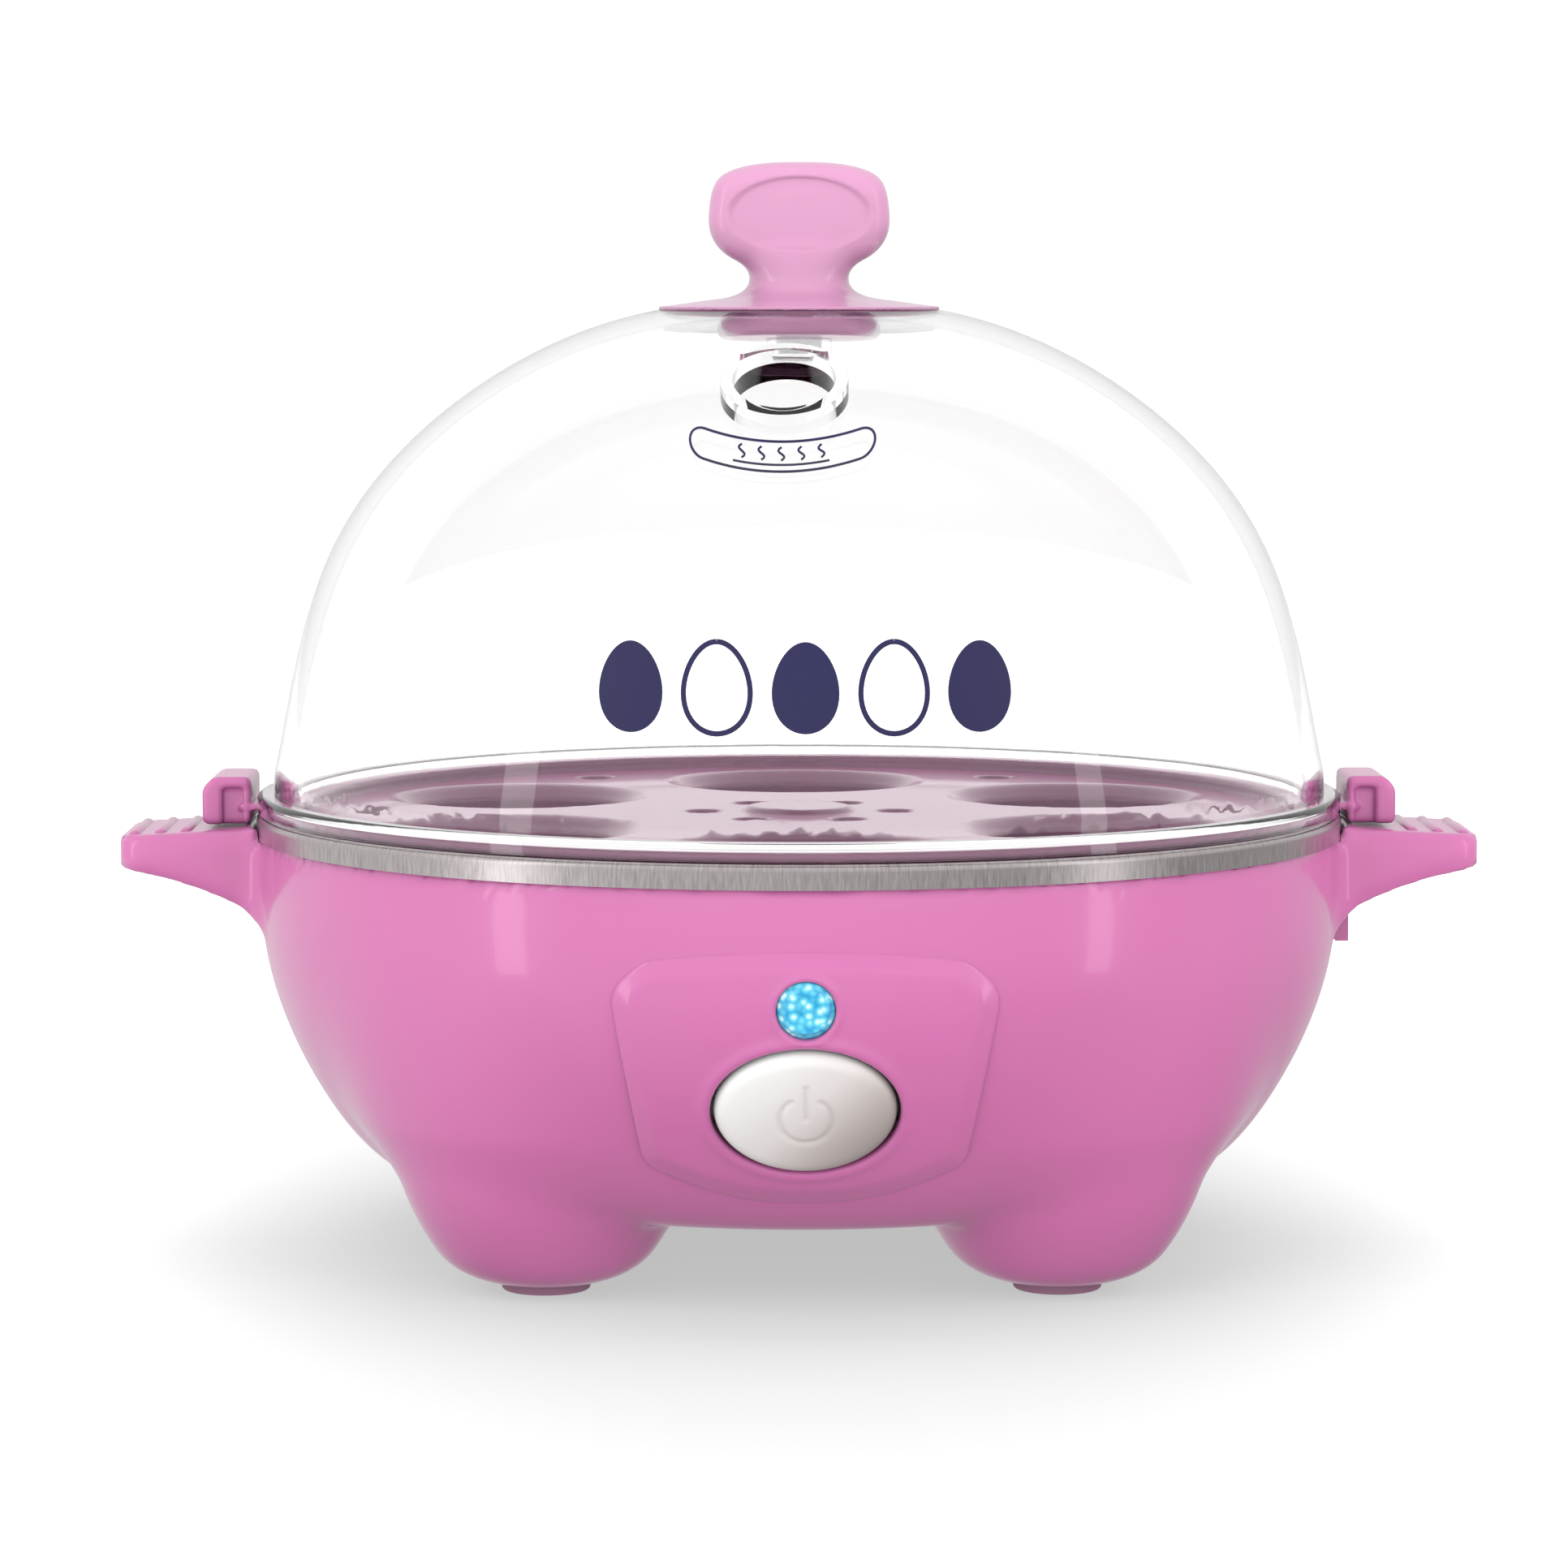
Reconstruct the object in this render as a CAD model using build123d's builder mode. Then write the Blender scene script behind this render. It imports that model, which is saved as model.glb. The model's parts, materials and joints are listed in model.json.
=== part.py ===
from build123d import *
import os
from math import cos, hypot, radians, sin

os.makedirs("parts", exist_ok=True)

# Six-egg electric egg cooker. Millimetres, +Z up, front at -Y, origin on the floor under the middle.

# Driving dimensions
wing_tip = 95.0  # half the width over the two side handles
rim_radius = 76.1  # outside of the steel rim band
rim_low = 58.8  # lower edge of the steel rim band
rim_top = 62.05  # top face of the steel rim
sheet = 0.6  # steel sheet of the heating plate
wall = 2.2  # moulded wall of housing and lid
gap = 0.3  # clearance between pieces that lift or slide apart

bowl_floor = 11.0
bowl_side = [(75.5, 58.6), (75.1, 44.2), (72.4, 33.9), (67.3, 23.6), (58.5, 13.6), (51.5, bowl_floor)]
neck_radius = 74.9  # the neck that the steel band hides
neck_top = 60.6
cavity_radius = 72.9  # inside of the housing at its mouth

leg_spread = 49.0  # from the middle to each leg's axis
leg_radius = 22.0
leg_height = 33.0  # upright half height of a leg's ellipsoid
leg_centre = 30.0
leg_low = 0.8  # plastic of the leg ends here and the foot pad goes on to the floor
pad_radius = 6.0
pad_depth = 1.6

wing_top = 60.2
wing_root = 48.2
wing_half = 13.4
rib_pitch = 3.55

seat_ring = 47.0  # circle on which the six eggs stand
seat_radius = 15.9
deck_top = 61.6
tray_rim_low = rim_top + gap
tray_rim_top = tray_rim_low + 1.0
tray_radius = 74.2
tab_half = 7.5  # half the width of a lift tab
tab_inner = 76.5
tab_outer = 83.4
tab_top = 67.1

dome_top = 133.6
dome_side = [(0, dome_top), (30.9, 128.8), (53.6, 114.5), (67.2, 94.5), (73.35, 68.8), (73.7, 64.8)]
flange_radius = 76.0
flange_low = rim_top + gap
flange_under = tray_rim_top + gap
vent_turn = -3.1  # the steam vent stands a little to the left of the front
vent_reach = 45.5
vent_height = 121.6
vent_slope = 57.0  # its axis above the horizontal
vent_radius = 6.8
collar_radius = 8.45

knob_top = 152.5
knob_half = 12.5
knob_thick = 10.8
disc_radius = 19.6
waist_radius = 6.25

button_height = 29.5
button_reach = 71.6
button_tilt = 24.0  # the panel faces down by this much at the button
button_long = 11.85
button_tall = 9.0
button_travel = 2.2
lens_height = 43.3
lens_reach = 76.0
lens_tilt = 9.0
lens_radius = 3.7

plate_floor = 46.0  # top of the heating plate's floor
plate_under = plate_floor - sheet
post_ring = 43.5  # circle of the four posts that hold the plate down
post_radius = 3.5
boss_top = 30.0
cover_half = 28.3  # the bottom cover is a square that stands on its corner
opening_half = 21.5
cover_screw_ring = 34.0
inlet_height = 33.0
inlet_reach = 73.4

# Places and sizes of the inner pieces
switch_bosses = [(-17.5, 0), (17.5, 0)]
bracket_back = -13.2  # depths behind the button's plane
bracket_front = -12.0
stem_end = -10.4
flange_back = -6.4
switch_depth = 9.0
switch_tab = 3.0  # length of the switch's two solder tabs
tab_reach = 5.0
spring_wire = 0.3
spring_radius = 3.5
spreader_low = plate_under - 2.0
element_radius = 30.0
tube_radius = 3.2
element_height = spreader_low - tube_radius
clamp_y = 53.0
clamp_half = 7.5
clamp_low = inlet_height + 0.3
pad_top = bowl_floor + 4.2  # top of the thick square around the service opening
inner_corner = 18.4  # terminal block and sounder stand on that square
retainer_low = 128.4
panel_side = [(76.0, 51.2), (75.9, 45.0), (73.7, 33.9), (68.7, 23.6), (62.3, 15.9)]
panel_bulge = 40.0  # plane in front of the bowl that the panel's outline is drawn on
leg_cut = bowl_floor - 0.2  # below this the four legs stand apart


def save(piece, name):
    piece.part.label = name
    export_step(piece.part, f"parts/{name}.step")


def shifted(points, amount):
    """Points moved sideways by amount, square to the line through their neighbours."""
    moved = []
    for i, (r, z) in enumerate(points):
        before = points[max(i - 1, 0)]
        after = points[min(i + 1, len(points) - 1)]
        run = after[0] - before[0]
        rise = after[1] - before[1]
        length = hypot(run, rise)
        moved.append((r + rise / length * amount, z - run / length * amount))
    return moved


def bowl(inset, top_radius, top):
    """Solid bowl, its side moved inward by inset, with a straight mouth up to top."""
    side = shifted(bowl_side, inset)
    with BuildPart() as solid:
        with BuildSketch(Plane.XZ):
            with BuildLine():
                Spline(side, tangents=((0, -1), (-1, 0)))
                Polyline(
                    side[-1], (0, side[-1][1]), (0, top), (top_radius, top), (top_radius, side[0][1]), side[0]
                )
            make_face()
        revolve(axis=Axis.Z)
    return solid.part


def leg(inset, low):
    """Upright ellipsoid cut off flat at low."""
    with BuildPart() as solid:
        with BuildSketch(Plane.XZ):
            with BuildLine():
                arc = EllipticalCenterArc(
                    (0, leg_centre), leg_radius - inset, leg_height - inset, start_angle=-90, arc_size=180
                )
                Line(arc @ 1, arc @ 0)
            make_face()
        revolve(axis=Axis.Z)
        split(bisect_by=Plane.XY.offset(low), keep=Keep.TOP)
        fillet(solid.edges().filter_by(Plane.XY).sort_by(Axis.Z)[0], 2.5)
    return solid.part


outer_bowl = bowl(0, neck_radius, neck_top)
inner_bowl = bowl(wall, cavity_radius, neck_top + 5)
outer_leg = leg(0, leg_low)
inner_leg = leg(wall, leg_low + pad_depth + wall)


# ---- Housing: bowl, four legs and two ribbed side handles in one moulding ----

with BuildPart() as wing:
    with BuildSketch(Plane.XZ):
        with BuildLine():
            Polyline((70, wing_root - 1.5), (70, wing_top), (76.5, wing_top), (wing_tip, wing_top - 1.0))
            Line((wing_tip, wing_top - 1.0), (wing_tip, 54.6))
            ThreePointArc((wing_tip, 54.6), (84.5, 51.9), (75.5, wing_root))
            Line((75.5, wing_root), (70, wing_root - 1.5))
        make_face()
    extrude(amount=wing_half * 2, both=True)
    with BuildSketch(Plane.XY.offset(40)):
        with BuildLine():
            Polyline(
                (70, wing_half + 3.5), (wing_tip, wing_half - 0.8), (wing_tip, 0.8 - wing_half),
                (70, -wing_half - 3.5), close=True,
            )
        make_face()
    extrude(amount=30, mode=Mode.INTERSECT)
    fillet(wing.edges().filter_by(Axis.Z).group_by(Axis.X)[-1], 4.0)
    fillet(wing.faces().sort_by(Axis.X)[-1].edges(), 1.2)
    with BuildSketch(Plane.XY.offset(rim_low - 0.3)):
        Circle(rim_radius + 0.15)
    extrude(amount=10, mode=Mode.SUBTRACT)

with BuildPart() as wing_ribs:
    for i in range(3):
        x = wing_tip - 2.4 - i * rib_pitch
        with Locations(Location((x, 0, wing_top - 0.45 - (x - 76.5) / 18.5), (90, 0, 0))):
            Cylinder(0.95, 2 * wing_half - 7)

button_axis = (0, -cos(radians(button_tilt)), -sin(radians(button_tilt)))
button_plane = Plane(origin=(0, -button_reach, button_height), x_dir=(1, 0, 0), z_dir=button_axis)
lens_axis = (0, -cos(radians(lens_tilt)), -sin(radians(lens_tilt)))
lens_plane = Plane(origin=(0, -lens_reach, lens_height), x_dir=(1, 0, 0), z_dir=lens_axis)
inlet_plane = Plane(origin=(0, inlet_reach, inlet_height), x_dir=(1, 0, 0), z_dir=(0, 1, 0))

with BuildPart() as base_housing:
    add(outer_bowl)
    with PolarLocations(leg_spread, 4, start_angle=45):
        add(outer_leg)
    sides = base_housing.edges().filter_by(GeomType.BSPLINE).filter_by(
        lambda e: 20 < e.center().Z < 25 and hypot(e.center().X, e.center().Y) > 60
    )
    fillet(sides, 8)
    add(wing.part)
    add(mirror(wing.part, about=Plane.YZ, mode=Mode.PRIVATE))
    add(wing_ribs.part)
    add(mirror(wing_ribs.part, about=Plane.YZ, mode=Mode.PRIVATE))
    # Flat boss for the cord gland at the back
    with BuildSketch(inlet_plane):
        Circle(9.5)
    extrude(amount=-12)
    # Hollow inside, legs included
    add(inner_bowl, mode=Mode.SUBTRACT)
    with PolarLocations(leg_spread, 4, start_angle=45):
        add(inner_leg, mode=Mode.SUBTRACT)
    # Thick square around the service opening, with the recess for the bottom cover
    with BuildSketch(Plane.XY.offset(bowl_floor + 1)):
        with Locations(Location((0, 0), 45)):
            RectangleRounded(2 * cover_half + 3.0, 2 * cover_half + 3.0, 7.0)
    extrude(amount=3.2)
    with BuildSketch(Plane.XY.offset(bowl_floor)):
        with Locations(Location((0, 0), 45)):
            RectangleRounded(2 * cover_half + 0.4, 2 * cover_half + 0.4, 6.0)
    extrude(amount=2.0, mode=Mode.SUBTRACT)
    with BuildSketch(Plane.XY.offset(bowl_floor)):
        with Locations(Location((0, 0), 45)):
            RectangleRounded(2 * opening_half, 2 * opening_half, 5.0)
    extrude(amount=8, mode=Mode.SUBTRACT)
    # Tubes that the long plate screws pass through, and bosses for the cover screws
    with BuildSketch(Plane.XY.offset(bowl_floor + 1)):
        with PolarLocations(post_ring, 4):
            Circle(5.0)
    extrude(amount=boss_top - bowl_floor - 1)
    with BuildSketch(Plane.XY.offset(bowl_floor + 3)):
        with PolarLocations(cover_screw_ring, 4):
            Circle(3.2)
    extrude(amount=6)
    with PolarLocations(post_ring, 4):
        with Locations((0, 0, bowl_floor)):
            Cylinder(2.2, 40, mode=Mode.SUBTRACT)
            Cylinder(3.9, 5.0, align=(Align.CENTER, Align.CENTER, Align.MIN), mode=Mode.SUBTRACT)
    with PolarLocations(cover_screw_ring, 4):
        with Locations((0, 0, bowl_floor)):
            Cylinder(1.3, 8.0, align=(Align.CENTER, Align.CENTER, Align.MIN), mode=Mode.SUBTRACT)
    # Windows for the button and the lamp, and two bosses that carry the switch bracket
    with BuildSketch(button_plane):
        Ellipse(button_long + 1.0, button_tall + 0.6)
    extrude(amount=8, both=True, mode=Mode.SUBTRACT)
    with BuildSketch(lens_plane):
        Circle(lens_radius + 0.3)
    extrude(amount=8, both=True, mode=Mode.SUBTRACT)
    with BuildSketch(button_plane.offset(bracket_front)):
        with Locations(*switch_bosses):
            Circle(3.0)
    extrude(amount=-bracket_front - 4.6)
    with BuildSketch(button_plane.offset(bracket_front)):
        with Locations(*switch_bosses):
            Circle(1.1)
    extrude(amount=6.0, mode=Mode.SUBTRACT)
    # Pedestal under the cord clamp
    with Locations((0, clamp_y, bowl_floor + 1)):
        Box(20, 8, inlet_height - bowl_floor - 1, align=(Align.CENTER, Align.CENTER, Align.MIN))
    with Locations(Location((0, clamp_y, inlet_height), (90, 0, 0))):
        Cylinder(3.2, 20, mode=Mode.SUBTRACT)
    with Locations((-clamp_half, clamp_y, inlet_height), (clamp_half, clamp_y, inlet_height)):
        Cylinder(1.1, 16, mode=Mode.SUBTRACT)
    with BuildSketch(inlet_plane):
        Circle(5.0)
    extrude(amount=14, both=True, mode=Mode.SUBTRACT)
    with BuildSketch(inlet_plane):
        Circle(7.8)
    extrude(amount=8, mode=Mode.SUBTRACT)
    # Recesses for the foot pads
    with PolarLocations(leg_spread, 4, start_angle=45):
        Cylinder(pad_radius + 0.1, 2 * (leg_low + pad_depth), mode=Mode.SUBTRACT)

# The leg ends below the bowl are saved apart from the rest of the moulding
with BuildPart() as housing_upper:
    add(base_housing.part)
    split(bisect_by=Plane.XY.offset(leg_cut), keep=Keep.TOP)
save(housing_upper, "base_housing")
with BuildPart() as leg_ends:
    add(base_housing.part)
    split(bisect_by=Plane.XY.offset(leg_cut), keep=Keep.BOTTOM)

for number, name in enumerate(["back_right", "back_left", "front_left", "front_right"]):
    angle = radians(45 + 90 * number)
    with BuildPart() as leg_end:
        add(leg_ends.part)
        with Locations((leg_spread * cos(angle), leg_spread * sin(angle), leg_cut / 2)):
            Box(2 * leg_radius, 2 * leg_radius, 2 * leg_cut, mode=Mode.INTERSECT)
    save(leg_end, f"leg_end_{name}")
    with BuildPart() as foot_pad:
        with Locations((leg_spread * cos(angle), leg_spread * sin(angle), 0)):
            Cylinder(pad_radius, leg_low + pad_depth, align=(Align.CENTER, Align.CENTER, Align.MIN))
        fillet(foot_pad.edges().sort_by(Axis.Z)[0], 0.5)
    save(foot_pad, f"foot_pad_{name}")

# ---- Bottom cover with its air slots and screws ----

with BuildPart() as base_cover:
    with BuildSketch(Plane.XY.offset(bowl_floor)):
        with Locations(Location((0, 0), 45)):
            RectangleRounded(2 * cover_half, 2 * cover_half, 5.8)
    extrude(amount=1.9)
    with BuildSketch(Plane.XY.offset(bowl_floor)):
        with GridLocations(0, 6, 1, 5):
            SlotOverall(22, 2.4)
    extrude(amount=3, mode=Mode.SUBTRACT)
    with PolarLocations(cover_screw_ring, 4):
        with Locations((0, 0, bowl_floor)):
            Cylinder(1.6, 6, mode=Mode.SUBTRACT)
save(base_cover, "base_cover")


def screws(spots, head_radius, head_height, shank_radius, length):
    """Pan-head screws, one solid at each plane, head towards the plane's own -Z."""
    with BuildPart() as group:
        for spot in spots:
            with BuildSketch(spot.offset(-head_height)):
                Circle(head_radius)
            extrude(amount=head_height)
            with BuildSketch(spot.offset(-head_height)):
                Rectangle(head_radius * 1.1, 0.5)
                Rectangle(0.5, head_radius * 1.1)
            extrude(amount=head_height * 0.5, mode=Mode.SUBTRACT)
            with BuildSketch(spot):
                Circle(shank_radius)
            extrude(amount=length)
    return group


def ring_planes(radius, height, count):
    """Planes on a circle about the upright axis, looking up."""
    planes = []
    for i in range(count):
        angle = radians(360 / count * i)
        centre = (radius * cos(angle), radius * sin(angle), height)
        planes.append(Plane(origin=centre, x_dir=(cos(angle), sin(angle), 0), z_dir=(0, 0, 1)))
    return planes


save(screws(ring_planes(cover_screw_ring, bowl_floor, 4), 2.4, 0.9, 1.2, 7.0), "cover_screws")
save(screws(ring_planes(post_ring, bowl_floor + 5.0, 4), 3.5, 2.0, 1.95, 24.0), "plate_screws")


# ---- Control panel, power button and switch ----

with BuildPart() as control_panel:
    with BuildSketch(Plane.XZ):
        with BuildLine():
            front = Spline(panel_side, tangents=((0, -1), (-0.75, -0.66)))
            Polyline(front @ 0, (50, panel_side[0][1]), (50, panel_side[-1][1]), front @ 1)
        make_face()
    revolve(axis=Axis.Z)
    add(outer_bowl, mode=Mode.SUBTRACT)
    with BuildSketch(Plane.XZ.offset(panel_bulge)):
        with BuildLine():
            ThreePointArc((-20.8, 49.6), (0, 51.0), (20.8, 49.6))
            Line((20.8, 49.6), (25.2, 45.5))
            Line((25.2, 45.5), (21.0, 22.0))
            ThreePointArc((21.0, 22.0), (0, 16.2), (-21.0, 22.0))
            Line((-21.0, 22.0), (-25.2, 45.5))
            Line((-25.2, 45.5), (-20.8, 49.6))
        make_face()
        fillet(vertices(), 3.4)
    extrude(amount=panel_bulge, mode=Mode.INTERSECT)
    with BuildSketch(button_plane):
        Ellipse(button_long + 0.35, button_tall + 0.35)
    extrude(amount=12, both=True, mode=Mode.SUBTRACT)
    with BuildSketch(lens_plane):
        Circle(lens_radius + 0.1)
    extrude(amount=8, both=True, mode=Mode.SUBTRACT)
save(control_panel, "control_panel")

with BuildPart() as power_button:
    with BuildSketch(button_plane.offset(-5.4)):
        Ellipse(button_long, button_tall)
    extrude(amount=7.6)
    with Locations(button_plane.offset(1.3 - 62) * Location((0, 0, 0))):
        Sphere(62, mode=Mode.INTERSECT)
    fillet(power_button.edges().filter_by(lambda e: e.length > 40).sort_by(Axis.Y)[0], 0.9)
    with BuildSketch(button_plane.offset(flange_back)):
        Ellipse(button_long + 2.2, button_tall - 1.0)
    extrude(amount=1.0)
    with BuildSketch(button_plane.offset(stem_end)):
        Circle(2.5)
    extrude(amount=flange_back - stem_end)
    # Power symbol, engraved
    with BuildSketch(button_plane.offset(0.95)):
        with BuildLine():
            CenterArc((0, -0.3), 3.5, 125, 290)
        trace(line_width=0.55)
    extrude(amount=2, mode=Mode.SUBTRACT)
    with BuildSketch(button_plane.offset(0.95)):
        with Locations((0, 1.9)):
            SlotOverall(4.4, 0.55, rotation=90)
    extrude(amount=2, mode=Mode.SUBTRACT)
save(power_button, "power_button")

with BuildPart() as switch_plunger:
    with BuildSketch(button_plane.offset(-17.0)):
        Circle(1.4)
    extrude(amount=17.0 + stem_end)
save(switch_plunger, "switch_plunger")

spring_length = flange_back - bracket_front - 2 * spring_wire
with BuildPart() as button_spring:
    with BuildLine():
        start = button_plane.offset(bracket_front + spring_wire).origin
        coil = Helix(spring_length / 4, spring_length, spring_radius, center=start, direction=button_axis)
    with BuildSketch(Plane(origin=coil @ 0, z_dir=coil % 0)):
        Circle(spring_wire)
    sweep()
save(button_spring, "button_spring")

with BuildPart() as switch_bracket:
    with BuildSketch(button_plane.offset(bracket_back)):
        RectangleRounded(42, 11, 2)
        Circle(3.3, mode=Mode.SUBTRACT)
        with Locations(*switch_bosses):
            Circle(1.3, mode=Mode.SUBTRACT)
    extrude(amount=bracket_front - bracket_back)
save(switch_bracket, "switch_bracket")

bracket_spots = [
    Plane(origin=button_plane.from_local_coords((x, y, bracket_back)), x_dir=(1, 0, 0), z_dir=button_axis)
    for x, y in switch_bosses
]
save(screws(bracket_spots, 2.2, 1.5, 1.05, 6.5), "bracket_screws")

with BuildPart() as push_switch:
    with BuildSketch(button_plane.offset(bracket_back)):
        RectangleRounded(13, 8, 0.6)
    extrude(amount=-switch_depth)
    with BuildSketch(button_plane.offset(bracket_back)):
        Circle(1.7)
    extrude(amount=-7.5, mode=Mode.SUBTRACT)
    with BuildSketch(button_plane.offset(bracket_back - switch_depth)):
        with Locations((-tab_reach, 0), (tab_reach, 0)):
            Rectangle(0.8, 3.5)
    extrude(amount=-switch_tab)
save(push_switch, "push_switch")

with BuildPart() as indicator_lens:
    with BuildSketch(lens_plane.offset(-5.0)):
        Circle(lens_radius)
    extrude(amount=5.4)
    chamfer(indicator_lens.edges().sort_by(Axis.Y)[0], 0.9)
    with BuildSketch(lens_plane.offset(-5.0)):
        Circle(2.6)
    extrude(amount=3.0, mode=Mode.SUBTRACT)
save(indicator_lens, "indicator_lens")

with BuildPart() as indicator_lamp:
    with BuildSketch(lens_plane.offset(-9.0)):
        Circle(2.4)
    extrude(amount=6.0)
    fillet(indicator_lamp.edges().sort_by(Axis.Y)[0], 1.2)
    with BuildSketch(lens_plane.offset(-9.0)):
        with Locations((-1.2, 0), (1.2, 0)):
            Circle(0.35)
    extrude(amount=-3.0)
save(indicator_lamp, "indicator_lamp")

# ---- Heating plate and what hangs under it ----

with BuildPart() as heating_plate:
    with BuildSketch(Plane.XZ):
        middle = sheet / 2
        with BuildLine():
            FilletPolyline(
                (rim_radius - middle, rim_low),
                (rim_radius - middle, rim_top - middle),
                (71.6, rim_top - middle),
                (71.2, 57.5),
                (60.0, 49.5),
                (54.0, plate_floor - middle),
                (0, plate_floor - middle),
                radius=(0.6, 0.8, 4.0, 3.0, 3.0),
            )
        trace(line_width=sheet)
        split(bisect_by=Plane.YZ, keep=Keep.TOP)
    revolve(axis=Axis.Z)
save(heating_plate, "heating_plate")

with BuildPart() as plate_gasket:
    with BuildSketch(Plane.XY.offset(neck_top)):
        Circle(neck_radius - 0.1)
        Circle(cavity_radius + 0.2, mode=Mode.SUBTRACT)
    extrude(amount=rim_top - sheet - neck_top)
save(plate_gasket, "plate_gasket")

with BuildPart() as plate_posts:
    with BuildSketch(Plane.XY.offset(boss_top)):
        with PolarLocations(post_ring, 4):
            Circle(post_radius)
    extrude(amount=plate_under - boss_top)
    with BuildSketch(Plane.XY.offset(boss_top)):
        with PolarLocations(post_ring, 4):
            Circle(2.0)
    extrude(amount=11, mode=Mode.SUBTRACT)
save(plate_posts, "plate_posts")

with BuildPart() as heat_spreader:
    with BuildSketch(Plane.XY.offset(spreader_low)):
        Circle(38)
    extrude(amount=2.0)
    chamfer(heat_spreader.edges().sort_by(Axis.Z)[0], 0.8)
    with Locations((0, 14, spreader_low), (0, -14, spreader_low)):
        Cylinder(1.55, 2.4, mode=Mode.SUBTRACT)
save(heat_spreader, "heat_spreader")

with BuildPart() as heating_element:
    with BuildLine():
        loop = CenterArc((0, 0, element_height), element_radius, 110, 320)
    with BuildSketch(Plane(origin=loop @ 0, z_dir=loop % 0)):
        Circle(tube_radius)
    sweep()
    for end, out in ((loop @ 0, -1), (loop @ 1, 1)):
        with BuildSketch(Plane(origin=end, z_dir=(loop % (0 if out < 0 else 1)) * out)):
            Circle(1.2)
        extrude(amount=4.0)
save(heating_element, "heating_element")

with BuildPart() as thermostat:
    with BuildSketch(Plane.XY.offset(spreader_low)):
        Circle(8.5)
    extrude(amount=-6.5)
    fillet(thermostat.edges().sort_by(Axis.Z)[0], 0.6)
    with BuildSketch(Plane.XY.offset(spreader_low - 6.5)):
        with Locations((-5, 0), (5, 0)):
            Rectangle(0.8, 5)
    extrude(amount=-4.5)
save(thermostat, "thermostat")

with BuildPart() as thermostat_clamp:
    with BuildSketch(Plane.XY.offset(spreader_low)):
        with Locations((0, 13.5), (0, -13.5)):
            RectangleRounded(9, 8, 1.5)
        with Locations((0, 14), (0, -14)):
            Circle(1.6, mode=Mode.SUBTRACT)
    extrude(amount=-1.0)
    with BuildSketch(Plane.XY.offset(spreader_low - 3.5)):
        Circle(10.6)
        Circle(8.6, mode=Mode.SUBTRACT)
    extrude(amount=3.5)
save(thermostat_clamp, "thermostat_clamp")
clamp_spots = [
    Plane(origin=(0, y, spreader_low - 1.0), x_dir=(1, 0, 0), z_dir=(0, 0, 1)) for y in (14, -14)
]
save(screws(clamp_spots, 2.3, 1.4, 1.5, 2.0), "thermostat_screws")

with BuildPart() as thermal_fuse:
    with Locations(Location((-19.5, 0, spreader_low - 2.2), (90, 0, 0))):
        Cylinder(2.0, 11)
        Cylinder(0.5, 19)
save(thermal_fuse, "thermal_fuse")

# ---- Mains side: gland, clamp, terminal block, sounder and wires ----

with BuildPart() as cord_gland:
    with BuildSketch(inlet_plane):
        Circle(7.5)
    extrude(amount=1.6)
    fillet(cord_gland.edges().sort_by(Axis.Y)[-1], 0.7)
    with BuildSketch(inlet_plane):
        Circle(4.9)
    extrude(amount=-9.0)
    with BuildSketch(inlet_plane.offset(-9.0)):
        Circle(6.2)
    extrude(amount=-1.6)
    with BuildSketch(inlet_plane):
        Circle(3.1)
    extrude(amount=20, both=True, mode=Mode.SUBTRACT)
save(cord_gland, "cord_gland")

with BuildPart() as cord_clamp:
    with Locations((0, clamp_y, clamp_low)):
        Box(20, 7.4, 5.0, align=(Align.CENTER, Align.CENTER, Align.MIN))
    with Locations(Location((0, clamp_y, inlet_height), (90, 0, 0))):
        Cylinder(3.2, 20, mode=Mode.SUBTRACT)
    with Locations((-clamp_half, clamp_y, clamp_low), (clamp_half, clamp_y, clamp_low)):
        Cylinder(1.3, 20, mode=Mode.SUBTRACT)
    fillet(cord_clamp.edges().filter_by(Axis.Y).group_by(Axis.Z)[-1], 0.8)
save(cord_clamp, "cord_clamp")
clamp_tops = [
    Plane(origin=(x, clamp_y, clamp_low + 5.0), x_dir=(1, 0, 0), z_dir=(0, 0, -1))
    for x in (-clamp_half, clamp_half)
]
save(screws(clamp_tops, 2.2, 1.5, 1.05, 11.0), "clamp_screws")

terminal_spot = Location((inner_corner, inner_corner, pad_top), (0, 0, -45))
terminal_pitch = 6.0
with BuildPart() as terminal_block:
    with Locations(terminal_spot):
        Box(20, 8, 8.5, align=(Align.CENTER, Align.CENTER, Align.MIN))
    fillet(terminal_block.edges().filter_by(Axis.Z), 0.8)
    with Locations(terminal_spot):
        for way in (-terminal_pitch, 0, terminal_pitch):
            with Locations((way, 0, 8.5)):
                Cylinder(1.9, 6.0, mode=Mode.SUBTRACT)
            with Locations(Location((way, 0, 3.5), (90, 0, 0))):
                Cylinder(1.5, 12, mode=Mode.SUBTRACT)
save(terminal_block, "terminal_block")

with BuildPart() as sounder:
    with BuildSketch(Plane.XY.offset(pad_top)):
        with Locations((-inner_corner, inner_corner)):
            Circle(5.5)
    extrude(amount=6.0)
    fillet(sounder.edges().sort_by(Axis.Z)[-1], 0.6)
    with BuildSketch(Plane.XY.offset(pad_top + 5.0)):
        with Locations((-inner_corner, inner_corner)):
            Circle(1.2)
    extrude(amount=2, mode=Mode.SUBTRACT)
save(sounder, "sounder")


def wire(name, points, bend, radius):
    """Insulated wire along straight runs joined by arcs."""
    with BuildPart() as lead:
        with BuildLine():
            route = FilletPolyline(*points, radius=bend)
        with BuildSketch(Plane(origin=route @ 0, z_dir=route % 0)):
            Circle(radius)
        sweep()
    save(lead, name)


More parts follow.
